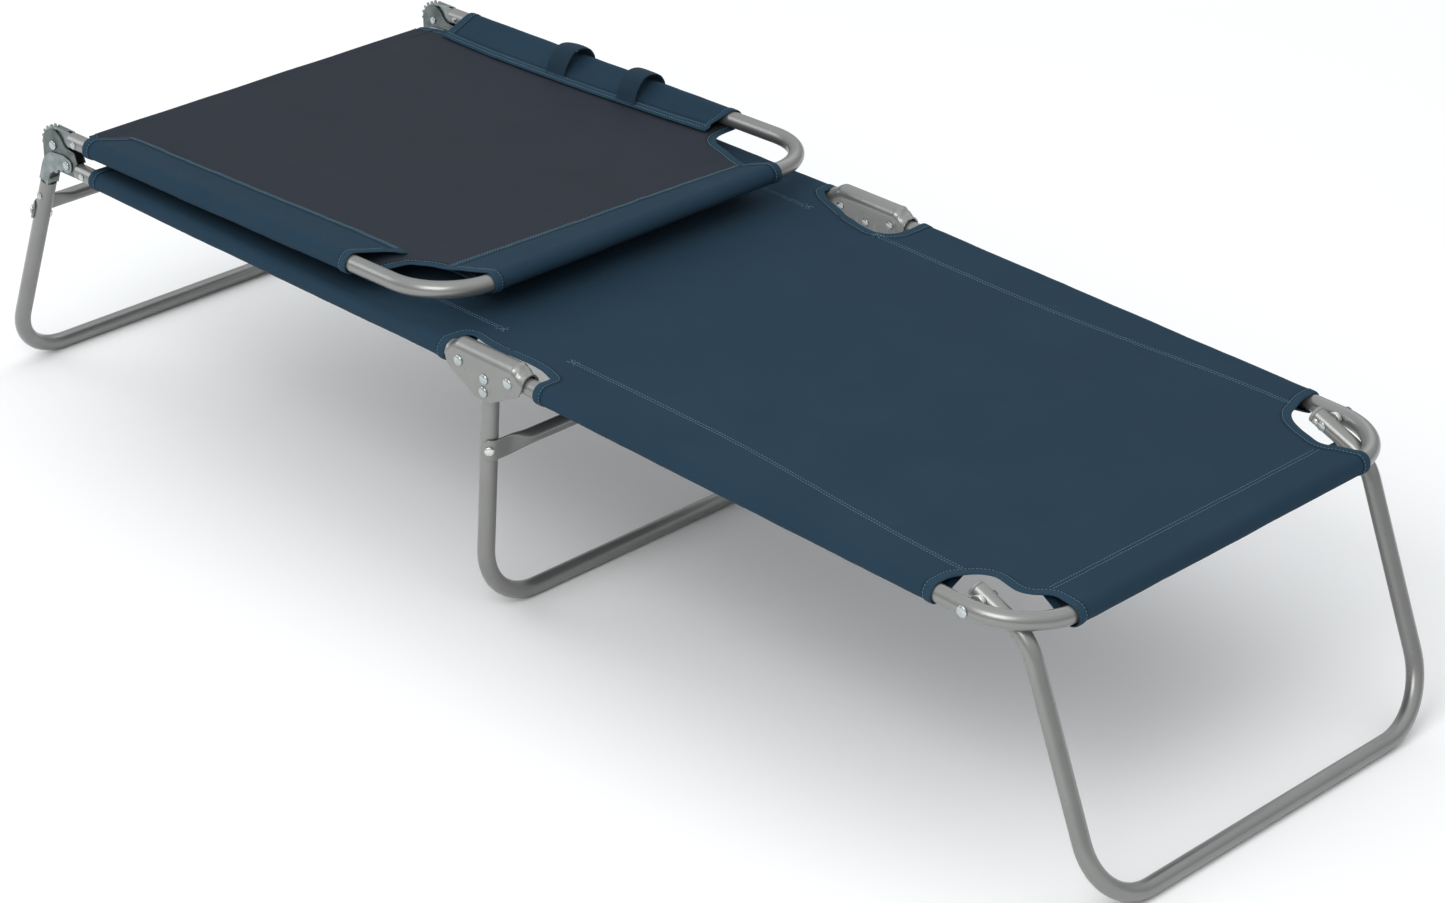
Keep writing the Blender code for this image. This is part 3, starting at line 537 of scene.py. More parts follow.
def joined(meshes, matrix=None):
    """One mesh of several, moved by a matrix."""
    shape = bmesh.new()
    for mesh in meshes:
        shape.from_mesh(mesh)
    mesh = finished(shape, outward=False)
    if matrix:
        mesh.transform(matrix)
    return mesh


# ---------------------------------------------------------------- steel frame

def make_tubes():
    ends = {hand: side * RAIL_Y for hand, side in HANDS}
    for hand, y in ends.items():
        points = [(HEAD_RAIL_START_X - HEAD_PIVOT_X, y, 0.0), (RAIL_STUB, y, 0.0)]
        tube(f"head_rail_{hand}", "head_section", HEAD, points)

    def hoop(start, end, y=RAIL_Y, z=0.0):
        return rounded([(start, -y, z), (end, -y, z), (end, y, z), (start, y, z)], BEND_R)

    def leg(x, top, bar):
        return rounded([(x, -RAIL_Y, top), (x, -RAIL_Y, bar), (x, RAIL_Y, bar), (x, RAIL_Y, top)], BEND_R)

    tube("foot_frame", "foot_section", FOOT, hoop(-RAIL_STUB, FOOT_END_ALONG))
    tube("head_panel_frame", "head_panel", PANEL, hoop(PANEL_TUBE_START, PANEL_END_X, z=PANEL_TUBE_Z))
    tube("mid_leg_frame", "centre", MID_LEG_FRAME, leg(0.0, MID_LEG_LENGTH, 0.0))
    tube("head_leg_frame", "head_leg", HEAD_LEG_FRAME, leg(HEAD_LEG_OFFSET, HEAD_LEG_TOP, HEAD_LEG_BAR))
    side_points = (FOOT_LEG_TOP, FOOT_LEG_KNEE, FOOT_LEG_BAR)
    right = [(x, -FOOT_LEG_Y, z) for x, z in side_points]
    left = [(x, FOOT_LEG_Y, z) for x, z in reversed(side_points)]
    path = rounded(right + left, [0, FOOT_KNEE_R, BEND_R, BEND_R, FOOT_KNEE_R, 0])
    tube("foot_leg_frame", "foot_leg", FOOT_LEG_FRAME, path)


# A brace: a tube squashed flat at its ends, each flat wrapped part way round its leg
BRACE_R = 0.008
BRACE_SIDES = 32
TAB_HALF_THICK = 0.0013
TAB_HALF_WIDTH = 0.0115
TAB_WRAP = math.radians(75)
TAB_RIVET = math.radians(42)
WRAP_R = TUBE_R + GAP + TAB_HALF_THICK
FLAT_FROM, FLAT_TO = 0.228, 0.260


def brace_ring(along):
    side = 1 if along > 0 else -1
    flat = smooth_step(FLAT_FROM, FLAT_TO, abs(along))
    length = RAIL_Y + WRAP_R * TAB_WRAP - abs(along)
    corner = 1.0 - 0.35 * (1.0 - min(max(length / 0.005, 0.0), 1.0)) ** 2
    thick = BRACE_R + (TAB_HALF_THICK - BRACE_R) * flat
    wide = (BRACE_R + (TAB_HALF_WIDTH - BRACE_R) * flat) * corner
    turn = max(abs(along) - RAIL_Y, 0.0) / WRAP_R
    power = 1.0 - 0.45 * flat
    ring = []
    for step in range(BRACE_SIDES):
        angle = math.tau * step / BRACE_SIDES
        c, s = math.cos(angle), math.sin(angle)
        out = WRAP_R + thick * math.copysign(abs(c) ** power, c)
        up = wide * math.copysign(abs(s) ** power, s)
        if turn > 0:
            x, y = out * math.cos(turn), RAIL_Y + out * math.sin(turn)
        else:
            x, y = out, abs(along)
        ring.append((x, side * y, up))
    return ring


def make_brace(name, body, matrix, middle, side):
    """A brace on the side (+1 or -1 along X) of two legs that stand at +-RAIL_Y."""
    end = RAIL_Y + WRAP_R * TAB_WRAP
    half = [0.0, 0.08, 0.16, 0.21]
    half += [FLAT_FROM + (FLAT_TO - FLAT_FROM) * step / 14 for step in range(15)]
    half += [FLAT_TO + (end - FLAT_TO) * step / 18 for step in range(1, 19)]
    stations = [-s for s in reversed(half[1:])] + half
    shape = bmesh.new()
    rings = [[shape.verts.new((side * x, y, z)) for x, y, z in brace_ring(s)] for s in stations]
    skin(shape, rings, closed=True)
    shape.faces.new(rings[0])
    shape.faces.new(rings[-1][::-1])
    mesh = finished(shape)
    mesh.transform(matrix @ Matrix.Translation(middle))
    add_piece(f"{name}_formed", mesh, [PAINT], body, [name], sharp=50)
    prefix = name.replace("_leg_brace", "_brace")
    for hand, y_side in HANDS:
        way = Vector((side * math.cos(TAB_RIVET), y_side * math.sin(TAB_RIVET), 0.0))
        thick = 2 * TAB_HALF_THICK + GAP
        centre = Vector((middle[0], y_side * RAIL_Y, middle[2])) + way * (thick / 2)
        turned = matrix.to_3x3() @ way
        rivet(f"{prefix}_rivet_{hand}", body, matrix @ centre, turned, 2 * TUBE_R + thick, 0.005,
              material=BRIGHT, slot="bright_steel")


# Bracket: a pressed cap over the rail stubs
CAP_OUT = 0.0115
CAP_THICK = 0.0017
CAP_CENTRE_UP = 0.009
BRACKET_HALF = 0.0555
SKIRT_STEPS, CAP_STEPS = 14, 24
CAP_STATIONS = 112


def bracket_low(x):
    """Height of the bracket's lower edge under its rivet line, at a distance from its middle."""
    edge = [(0.0, -0.0313), (0.0090, -0.0306), (0.0170, -0.0268), (0.0460, -0.0122),
            (0.0505, -0.0085), (0.0535, -0.0035), (BRACKET_HALF, 0.0040)]
    return float(np.interp(abs(x), [p[0] for p in edge], [p[1] for p in edge]))


def bracket_section(x):
    """The cap's section, as (y, z) from the rail's axis: two skirts and a round top, drawn in at its ends."""
    ease = smooth_step(0.0385, BRACKET_HALF, abs(x))
    centre_up = CAP_CENTRE_UP * (1 - ease) + 0.0010 * ease
    low = min(bracket_low(x), centre_up - 0.0005)
    steps = range(SKIRT_STEPS)
    rising = [(CAP_OUT, low + (centre_up - low) * step / SKIRT_STEPS) for step in steps]
    falling = [(-CAP_OUT, centre_up + (low - centre_up) * (step + 1) / SKIRT_STEPS) for step in steps]
    return rising + arc((0.0, centre_up), CAP_OUT, 0, 180, CAP_STEPS) + falling


def pressed(x, y, z):
    """A section's point as pressed: creased beside the leg, pleated and dented at the foot side."""
    below = smooth_step(-0.004, -0.017, z)
    crease = math.exp(-((abs(x - 0.0012) - 0.0128) / 0.0019) ** 2)
    narrow = 0.0010 * smooth_step(0.047, BRACKET_HALF, abs(x)) * smooth_step(0.006, -0.004, z)
    high = smooth_step(-0.004, 0.004, z) * smooth_step(0.0, 0.004, abs(y))
    pleats = math.exp(-((x - 0.0400) / 0.0014) ** 2) + 0.8 * math.exp(-((x - 0.0462) / 0.0013) ** 2)
    dent = smooth_step(0.034, 0.042, x) * noise.noise(Vector((x * 260, y * 200, z * 200)))
    shift = -0.0012 * crease * below - narrow * 0.4 - (0.0011 * pleats + 0.0009 * dent) * high
    y += math.copysign(shift, y) if abs(y) > 1e-4 else 0.0
    return y, z - 0.0008 * dent * smooth_step(0.004, 0.012, z)


def make_bracket(name, side):
    """The pressed cap over the rails' ends."""
    shape = bmesh.new()
    rows = []
    for x in np.linspace(-BRACKET_HALF, BRACKET_HALF, CAP_STATIONS):
        places = [pressed(x, y, z) for y, z in bracket_section(x)]
        rows.append([shape.verts.new((BRACKET_X + x, side * RAIL_Y + y, BED_Z + z)) for y, z in places])
    skin(shape, rows)
    mesh = finished(shape)
    top = max(mesh.polygons, key=lambda face: face.center.z)
    if top.normal.z < 0:
        mesh.flip_normals()
    mesh = with_modifier(mesh, "SOLIDIFY", thickness=CAP_THICK, offset=-1.0, use_even_offset=False)
    return add_piece(f"{name}_pressed", mesh, [PAINT], "centre", [name], sharp=50)


def make_brackets():
    leg_rivets = ((0.0127, -0.0075), (0.0120, -0.0216))
    for hand, side in HANDS:
        make_bracket(f"mid_bracket_{hand}", side)
        places = {
            f"head_pivot_rivet_{hand}": (HEAD_PIVOT_X, 0.0),
            f"foot_pivot_rivet_{hand}": (FOOT_PIVOT_X, 0.0),
            f"leg_rivet_upper_{hand}": leg_rivets[0],
            f"leg_rivet_lower_{hand}": leg_rivets[1],
        }
        for name, (x, up) in places.items():
            middle = (x, side * RAIL_Y, BED_Z + up)
            rivet(name, "centre", middle, (0, side, 0), 2 * CAP_OUT, 0.0058, 0.0023)


# Hinge stack, as half distances from the rail's centre plane
TOOTHED_IN, TOOTHED_OUT = 0.0020, 0.0040
CHEEK_IN, CHEEK_OUT = 0.0044, 0.0059
LEG_PLATE_IN, LEG_PLATE_OUT = 0.0062, 0.0077
TOOTH_TIP_R, TOOTH_ROOT_R = 0.022, 0.0185
TOOTH_PITCH = 20
CHEEK_SHANK_X = 0.0352
CHEEK_SHANK = 0.031
SHANK_HALF_Z = 0.0045
SHANK_R = 0.0070
BORE_R = 0.0033
SMALL_HEAD = (0.004, 0.0014)


def planar(points, radii, steps):
    """A rounded outline in a plane, as pairs."""
    return [(p.x, p.y) for p in rounded([(x, y, 0.0) for x, y in points], radii, steps)]


def cheek_outline():
    top = arc((0.0, 0.0), 0.0180, 190, 44, 28)
    swept = planar([top[-1], (0.0200, 0.0030), (0.0370, 0.0020), (0.0420, -0.0106)], [0, 0.016, 0.003, 0], 10)
    lower = planar([(0.0420, -0.0106), (0.0386, -0.0106), (0.0386, -0.0270), (-0.0170, -0.0285), top[0]],
                   [0, 0.002, 0.003, 0.006, 0], 6)
    return top + swept[1:] + lower[1:-1]


def toothed_outline():
    points = planar([(0.0287, 0.0040), (0.0287, 0.0212), (0.0040, 0.0216)], [0, 0.001, 0], 4)
    for tooth in range(13):
        middle = 85 + TOOTH_PITCH * tooth
        if tooth:
            points.append(arc((0, 0), TOOTH_ROOT_R, middle - 6.5, middle, 1)[0])
            points.append(arc((0, 0), TOOTH_TIP_R, middle - 3.0, middle, 1)[0])
            points.append(arc((0, 0), TOOTH_TIP_R, middle - 1.0, middle, 1)[0])
        points.append(arc((0, 0), TOOTH_TIP_R, middle + 1.0, middle, 1)[0])
        points.append(arc((0, 0), TOOTH_TIP_R - 0.0004, middle + 3.0, middle, 1)[0])
        points.append(arc((0, 0), TOOTH_ROOT_R, middle + 6.5, middle, 1)[0])
    return points + [(0.0200, 0.0010)]


def leg_plate_outline():
    knuckle = arc((0.0, 0.0), 0.0088, 80, -110, 22)
    lower = [(-0.0051, -0.0128), (-0.0116, -0.0137), (-0.0118, -0.0220), (-0.0173, -0.0205)]
    shank = [(-0.0230, -0.0290), (-0.0230, -0.0447), (-0.0380, -0.0447), (-0.0380, -0.0240)]
    inner = planar([knuckle[-1]] + lower + shank, [0, 0.002, 0.002, 0.003, 0.002, 0.004, 0, 0, 0], 4)
    back = planar([(-0.0380, -0.0240), (-0.0372, -0.0160), (-0.0300, -0.0020), (-0.0085, 0.0074), knuckle[0]],
                  [0, 0.02, 0.02, 0.02, 0], 8)
    return knuckle + inner[1:] + back[1:-1]


def circle(x, z, radius, sides=20):
    return arc((x, z), radius, 0, 360 - 360 / sides, sides - 1)


def pair(loops, inner, outer, y):
    """The two plates of a stack, either side of the rail's centre plane."""
    middle, thick = (inner + outer) / 2, outer - inner
    return [plate_mesh(loops, y + middle, thick), plate_mesh(loops, y - middle, thick)]


LIP_R = 0.0009


def lip_mesh(y):
    """The rolled lip along a cheek's upper edge, from over the hub to the rail."""
    edge = [(x, y, z) for x, z in cheek_outline()[19:] if z > -0.0100 and x > 0.0020]
    return curve_mesh([edge], dimensions="3D", bevel_depth=LIP_R, bevel_resolution=3, use_fill_caps=True)


def make_cheeks(hand, y):
    pivot = (HEAD_LEG[0] - HUB[0], HEAD_LEG[1] - HUB[1])
    loops = [cheek_outline(), circle(0, 0, BORE_R), circle(*pivot, BORE_R)]
    start = CHEEK_SHANK_X
    z = BED_Z - HUB[1]
    rolled = block_mesh((start, y - CHEEK_OUT, z - SHANK_HALF_Z),
                        (start + CHEEK_SHANK, y + CHEEK_OUT, z + SHANK_HALF_Z), 0.0010)
    lips = [lip_mesh(y + way * (CHEEK_OUT + 0.0001)) for way in (-1, 1)]
    mesh = joined(pair(loops, CHEEK_IN, CHEEK_OUT, y) + [rolled] + lips, turned_frame(*HUB))
    name = f"hinge_cheeks_{hand}"
    add_piece(f"{name}_plates", mesh, [ZINC], "head_section", [name])


def make_toothed(hand, y):
    window = planar([(0.0060, 0.0150), (0.0100, 0.0150), (0.0100, 0.0188), (0.0060, 0.0188)], 0, 1)
    loops = [toothed_outline(), window, circle(0, 0, BORE_R)]
    insert = block_mesh((0.0250, y - TOOTHED_OUT, PANEL_TUBE_Z - 0.0058),
                        (0.0520, y + TOOTHED_OUT, PANEL_TUBE_Z + 0.0058), 0.0012)
    bridge = block_mesh((0.0042, y - TOOTHED_IN - 0.0006, 0.0197), (0.0218, y + TOOTHED_IN + 0.0006, 0.0210))
    mesh = joined(pair(loops, TOOTHED_IN, TOOTHED_OUT, y) + [insert, bridge], PANEL)
    name = f"toothed_plate_{hand}"
    add_piece(f"{name}_walls", mesh, [PALE_ZINC], "head_panel", [name])


def make_leg_plate(hand, y):
    loops = [leg_plate_outline(), circle(0, 0, BORE_R)]
    bridge = block_mesh((-0.0379, y - LEG_PLATE_IN - 0.0010, -0.0446),
                        (-0.0231, y + LEG_PLATE_IN + 0.0010, -0.0360), 0.0015)
    shank = bar_mesh((HEAD_LEG_OFFSET, y, -0.0390), (0, 0, -1), SHANK_R, 0.037)
    mesh = joined(pair(loops, LEG_PLATE_IN, LEG_PLATE_OUT, y) + [bridge, shank], HEAD_LEG_FRAME)
    name = f"leg_plate_{hand}"
    add_piece(f"{name}_fork", mesh, [PALE_ZINC], "head_leg", [name])


def make_hinges():
    for hand, side in HANDS:
        y = side * RAIL_Y
        out = (0, side, 0)
        make_cheeks(hand, y)
        make_toothed(hand, y)
        make_leg_plate(hand, y)
        rivet(f"hub_rivet_{hand}", "head_section", (HUB[0], y, HUB[1]), out, 2 * CHEEK_OUT, 0.0055)
        rivet(f"leg_pivot_rivet_{hand}", "head_section", (HEAD_LEG[0], y, HEAD_LEG[1]), out,
              2 * LEG_PLATE_OUT, 0.005)
        small = {
            ("rail_rivet", "head_section"): (RAIL_RIVET_X, y, BED_Z),
            ("panel_rivet", "head_panel"): PANEL @ Vector((PANEL_RIVET_X, y, PANEL_TUBE_Z)),
            ("shank_rivet", "head_leg"): HEAD_LEG_FRAME @ Vector((HEAD_LEG_OFFSET, y, HEAD_SHANK_RIVET)),
        }
        for (name, body), middle in small.items():
            rivet(f"{name}_{hand}", body, middle, out, 2 * TUBE_R, *SMALL_HEAD)


SPACER_R = 0.0078
SPACER_CLEAR = 0.0018


def make_foot_leg_fittings():
    """Pivot rivets, spacers, end caps and their screws."""
    top, knee = Vector(FOOT_LEG_TOP), Vector(FOOT_LEG_KNEE)
    out = (top - knee).normalized()
    out_way = Vector((out.x, 0.0, out.y))
    between = RAIL_Y - FOOT_LEG_Y - 2 * TUBE_R
    grip = RAIL_Y - FOOT_LEG_Y + 2 * TUBE_R
    for hand, side in HANDS:
        middle = FOOT_LEG_FRAME @ Vector((0.0, side * (RAIL_Y + FOOT_LEG_Y) / 2, 0.0))
        rivet(f"foot_leg_rivet_{hand}", "foot_leg", middle, (0, side, 0), grip, 0.006)
        start = FOOT_LEG_FRAME @ Vector((0.0, side * (FOOT_LEG_Y + TUBE_R + GAP), 0.0))
        spacer = bar_mesh(start, (0, side, 0), SPACER_R, between - GAP - SPACER_CLEAR)
        add_piece(f"leg_spacer_{hand}_turned", spacer, [BRIGHT], "foot_leg",
                  [f"leg_spacer_{hand}"])
        end = FOOT_LEG_FRAME @ Vector((FOOT_LEG_TOP[0], side * FOOT_LEG_Y, FOOT_LEG_TOP[1]))
        cap = joined([bar_mesh(end + out_way * GAP, out_way, TUBE_R, 0.004, 0.0012),
                      bar_mesh(end + out_way * 0.002, -out_way, SHANK_R, 0.0085)])
        add_piece(f"end_cap_{hand}_moulded", cap, [PLASTIC], "foot_leg", [f"end_cap_{hand}"])
        inward = Vector((0, -side, 0))
        screw_at = end - out_way * 0.0042 + inward * TUBE_R
        head = lathe([(0.0, 0.0018), (0.0012, 0.0017), (0.0024, 0.0012), (0.0031, 0.0004), (0.0032, 0.0),
                      (0.0012, 0.0), (0.0012, -0.0046), (0.0, -0.0048)], 20)
        head.transform(Matrix.Translation(screw_at + inward * GAP) @ facing(inward))
        add_piece(f"cap_screw_{hand}_head", head, [BRIGHT], "foot_leg", [f"cap_screw_{hand}"])


def finish_cad_nodes():
    """The pawls and springs keep their own shape, with softened edges and their finish."""
    for hand, _ in HANDS:
        for name, material in ((f"pawl_{hand}", ZINC), (f"pawl_spring_{hand}", BRIGHT)):
            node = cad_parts[name]
            node.data.materials.clear()
            node.data.materials.append(material)
            weld = node.modifiers.new("weld", "WELD")
            weld.merge_threshold = 1e-5
            soften = node.modifiers.new("soften", "BEVEL")
            soften.width = 0.0001
            soften.segments = 2
            soften.limit_method = "ANGLE"


# ---------------------------------------------------------------- cloth

WRAP = 0.0107                 # radius of the cloth round a tube
CLOTH_THICK = 0.0010
FLAP_GAP = 0.0026             # between a sheet and its hem's flap
FIELD_Y = 0.262               # where a side hem starts, out from the middle line
SIDES = (-1, 1)
EDGE_COLUMNS = [0.0, 0.001, 0.0025, 0.0045, 0.0065, 0.0080, 0.0090, 0.0100, 0.0112, 0.0145, 0.020, 0.030]
FIELD_COLUMNS = 12
BEND_STEPS = 18
FACE_LIFT = 0.0001            # stitches stand this far off the cloth
BACK_LIFT = -CLOTH_THICK - FACE_LIFT


def hem_turn(reach):
    """The angle at which a sheet leaves its tube for its seam, and the straight length from there."""
    across, rise = -reach, WRAP - FLAP_GAP
    distance = math.hypot(across, rise)
    angle = math.atan2(across, rise) % math.tau - math.acos(WRAP / distance)
    return angle, math.sqrt(distance * distance - WRAP * WRAP)


def hem_section(past, reach):
    """(out, height, normal out, normal height) at a length past a tube's crown, from the tube's axis."""
    if past <= 0:
        return past, WRAP, 0.0, 1.0
    turn, _ = hem_turn(reach)
    if past <= WRAP * turn:
        a = past / WRAP
        return WRAP * math.sin(a), WRAP * math.cos(a), math.sin(a), math.cos(a)
    run = past - WRAP * turn
    normal = math.sin(turn), math.cos(turn)
    out = WRAP * normal[0] + run * math.cos(turn)
    height = WRAP * normal[1] - run * math.sin(turn)
    return out, height, *normal


def hem_length(reach):
    """The developed length of a hem from the tube's crown to its free edge."""
    turn, straight = hem_turn(reach)
    return WRAP * turn + straight


def nearest(points, line):
    """Distance of each point in a plane to a polyline."""
    starts, ways = line[:-1], np.diff(line, axis=0)
    from_start = points[:, None, :] - starts[None]
    lengths = np.maximum((ways * ways).sum(1), 1e-12)
    share = np.clip((from_start * ways[None]).sum(2) / lengths, 0, 1)
    return np.linalg.norm(from_start - share[:, :, None] * ways[None], axis=2).min(1)


class Sheet:
    """A sheet on a frame: its cut, and its chart onto the frame."""

    def __init__(self, up, axis_z, sag, edges, hems, reach, bar=None, end_reach=0.0, end_skew=0.0,
                 slant=None):
        self.up = up                  # +1: over the tubes, -1: under them
        self.axis_z = axis_z          # height of the rails' axes along the sheet
        self.sag = sag
        self.edges = edges            # for each side, the half-width where the sheet isn't hemmed
        self.hems = hems              # where the side hems start and end
        self.reach = reach            # how far in from the rail the hem's seam is
        self.bar = bar                # along and height of the end bar's axis
        self.end_reach = end_reach
        self.end_skew = end_skew      # how much the end hem's width changes across the sheet
        self.slant = slant or {side: (0.0, 0.0, 0.0) for side in SIDES}  # how far a flap runs past its ends
        self.lines = {side: self.edge_lines(side) for side in SIDES}

    def half(self, along, side):
        line = self.edges[side]
        return float(np.interp(along, line[:, 0], line[:, 1]))

    def edge_lines(self, side):
        """The cut's turned edges on one side, as lines of (along, out)."""
        beyond = RAIL_Y + 0.12
        line = self.edges[side]
        start, end = self.hems
        before = line[line[:, 0] <= start + 1e-9].tolist()
        after = line[line[:, 0] >= end - 1e-9].tolist()
        found = []
        if len(before) > 1:
            found.append(np.array(before + [[start, beyond]]))
        if len(after) > 1:
            tail = [[self.bar[0] + 0.1, after[-1][1]]] if self.bar else []
            found.append(np.array([[end, beyond]] + after + tail))
        return found

    def chart(self, along, out, side, lift=0.0):
        """The point on the frame of a point of the cut, lifted off its blue face."""
        past_bar = along - self.bar[0] if self.bar else -1.0
        if past_bar > 0:
            reach = self.end_reach - self.end_skew * out * side
            past_bar *= hem_length(reach) / hem_length(self.end_reach)
            forward, height, n_forward, n_height = hem_section(past_bar, reach)
            relief = self.relief(along, out, side, hem_length(reach) - past_bar) + lift
            x = self.bar[0] + forward + n_forward * relief
            z = self.bar[1] + self.up * (height + n_height * relief)
            return Vector((x, side * out, z))
        reach = self.reach(along, side)
        across, height, n_out, n_height = hem_section(out - RAIL_Y, reach)
        relief = self.relief(along, out, side, RAIL_Y + hem_length(reach) - out) + lift
        drop = self.sag(along, out) if out < RAIL_Y else 0.0
        shift = self.shift(along, out, side, reach)
        y = RAIL_Y + across + n_out * relief
        z = self.axis_z(along) + self.up * (height + n_height * relief) - drop
        return Vector((along + shift, side * y, z))

    def shift(self, along, out, side, reach):
        """How far the hem's flap runs on past its ends near its free edge."""
        free = (out - RAIL_Y - math.pi * WRAP / 2) / (hem_length(reach) - math.pi * WRAP / 2)
        if free <= 0:
            return 0.0
        start, end = self.hems
        near_start = math.exp(-((along - start) / 0.025))
        near_end = math.exp(-((end - along) / 0.025))
        first, last, poke = self.slant[side]
        pointed = poke * smooth_step(0.80, 0.90, free) * near_end
        return free ** 1.5 * (last * near_end - first * near_start) + pointed

    def relief(self, along, out, side, free):
        """Turned edges stand proud, their stitching pulls in, and the cloth is a little uneven."""
        point = np.array([[along, out]])
        distance = min([float(nearest(point, line)[0]) for line in self.lines[side]] + [free])
        proud = 0.0010 * smooth_step(0.0, 0.0015, distance)
        proud *= smooth_step(TURNED_EDGE + 0.0022, TURNED_EDGE + 0.0006, distance)
        pulled = -0.0005 * math.exp(-((distance - TURNED_EDGE) / 0.0011) ** 2)
        ripple = noise.noise(Vector((along * 55, out * side * 55, self.axis_z(0) * 9)))
        pucker = 0.00035 * ripple * (1 + 1.5 * math.exp(-distance / 0.015))
        soft = 0.0005 * noise.noise(Vector((along * 11, out * side * 11, 3.7)))
        return proud + pulled + pucker + soft

    def stations(self, first, last):
        """Places along the sheet: close together at its hems' ends and cut-outs."""
        start, end = self.hems
        places = {first, last}
        for edge, way in ((start, 1), (end, -1)):
            places |= {edge + way * d for d in EDGE_COLUMNS[:-1]}
            places |= {edge - way * d for d in (0.0002, 0.0006, 0.0012, 0.002, 0.003)}
        for low, high, step in ((first, start, 0.0025), (start, end, 0.014), (end, last, 0.0025)):
            if high > low:
                places |= set(np.linspace(low, high, max(2, int((high - low) / step))))
        kept = sorted(p for p in places if first - 1e-9 <= p <= last + 1e-9)
        return [p for i, p in enumerate(kept) if i == 0 or p - kept[i - 1] > 5e-5]


def grid_faces(shape, rows, marks):
    """Adds a grid of faces; the marks say how far each vertex is from the turned edges."""
    layer = shape.verts.layers.float["edge"]
    made = []
    for row, mark in zip(rows, marks):
        made.append([shape.verts.new(place) for place in row])
        for vert, value in zip(made[-1], mark):
            vert[layer] = value
    skin(shape, made)


def field_columns(sheet, along):
    """The places across the sheet's flat part at one station, right to left, as (out, side)."""
    right_half, left_half = (sheet.half(along, side) for side in SIDES)
    start, end = EDGE_COLUMNS[-1] - right_half, left_half - EDGE_COLUMNS[-1]
    middle = []
    for step in range(1, 2 * FIELD_COLUMNS):
        y = start + (end - start) * step / (2 * FIELD_COLUMNS)
        middle.append((abs(y), 1 if y >= 0 else -1))
    right = [(right_half - d, -1) for d in EDGE_COLUMNS]
    return right + middle + [(left_half - d, 1) for d in reversed(EDGE_COLUMNS)]


def round_columns(start, reach):
    """Places from a tube's crown, round the tube and back along the flap to its free edge."""
    turn, straight = hem_turn(reach)
    bend = [start + WRAP * turn * step / BEND_STEPS for step in range(BEND_STEPS + 1)]
    run = [bend[-1] + (straight - 0.014) * step / 4 for step in range(1, 5)]
    return bend + run + [bend[-1] + straight - d for d in EDGE_COLUMNS[8::-1]]


def hem_columns(sheet, along, side):
    """The places round a side hem at one station, from the flat part to the free edge."""
    flat = [FIELD_Y + (RAIL_Y - FIELD_Y) * step / 3 for step in range(3)]
    return [(out, side) for out in flat + round_columns(RAIL_Y, sheet.reach(along, side))]


def new_cloth():
    shape = bmesh.new()
    shape.verts.layers.float.new("edge")
    return shape


def finished_cloth(shape, probe, up):
    """A drawn sheet as a closed thin mesh. Its face lowest by the probe, which is blue, looks up or down."""
    bmesh.ops.recalc_face_normals(shape, faces=shape.faces)
    layer = shape.verts.layers.float["edge"]
    for face in shape.faces:
        if max(vert[layer] for vert in face.verts) < TURNED_EDGE + 0.0014:
            face.material_index = 2
    probed = min(shape.faces, key=lambda face: probe(face.calc_center_median()))
    if probed.normal.z * up < 0:
        bmesh.ops.reverse_faces(shape, faces=shape.faces)
    mesh = finished(shape, outward=False)
    for material in SHEET:
        mesh.materials.append(material)
    return with_modifier(mesh, "SOLIDIFY", evaluated, thickness=CLOTH_THICK, offset=-1.0,
                         material_offset=1, material_offset_rim=0)


def sheet_mesh(sheet, first, last):
    """The sheet between two stations, with its hems."""
    shape = new_cloth()

    def add(stations, columns_of, free_of=None):
        rows, marks = [], []
        for along in stations:
            columns = columns_of(along)
            rows.append([sheet.chart(along, out, side) for out, side in columns])
            cut = np.array([[along, out, side] for out, side in columns])
            mark = np.full(len(cut), 1.0)
            for side in SIDES:
                here = cut[:, 2] == side
                for line in sheet.lines[side]:
                    if here.any():
                        mark[here] = np.minimum(mark[here], nearest(cut[here][:, :2], line))
            if free_of:
                mark = np.minimum(mark, free_of(along, cut[:, 1]))
            marks.append(mark)
        grid_faces(shape, rows, marks)

    stations = sheet.stations(first, last)
    add(stations, lambda along: field_columns(sheet, along))
    hemmed = [s for s in stations if sheet.hems[0] - 1e-9 <= s <= sheet.hems[1] + 1e-9]
    for side in SIDES:
        add(hemmed, lambda along, side=side: hem_columns(sheet, along, side),
            lambda along, out, side=side: RAIL_Y + hem_length(sheet.reach(along, side)) - out)
    if sheet.bar:
        at_bar = field_columns(sheet, sheet.bar[0])
        ends = round_columns(sheet.bar[0], sheet.end_reach)
        add(ends, lambda along: at_bar, lambda along, out: ends[-1] - along)
    bmesh.ops.remove_doubles(shape, verts=shape.verts, dist=2e-6)
    middle = Vector(((first + last) / 2, 0.0))
    return finished_cloth(shape, lambda centre: (centre.xy - middle).length, sheet.up)


STITCH_PITCH = 0.0036
STITCH_LENGTH = 0.0026
STITCH_R = 0.00036
STITCH_SIDES = 6
STITCH_RINGS = ((0.0, 0.45, -0.6), (0.25, 0.95, 0.3), (0.5, 1.0, 0.6), (0.75, 0.95, 0.3), (1.0, 0.45, -0.6))


def run_lengths(path):
    """The length along a polyline up to each of its points."""
    return np.concatenate([[0.0], np.cumsum(np.linalg.norm(np.diff(path, axis=0), axis=1))])


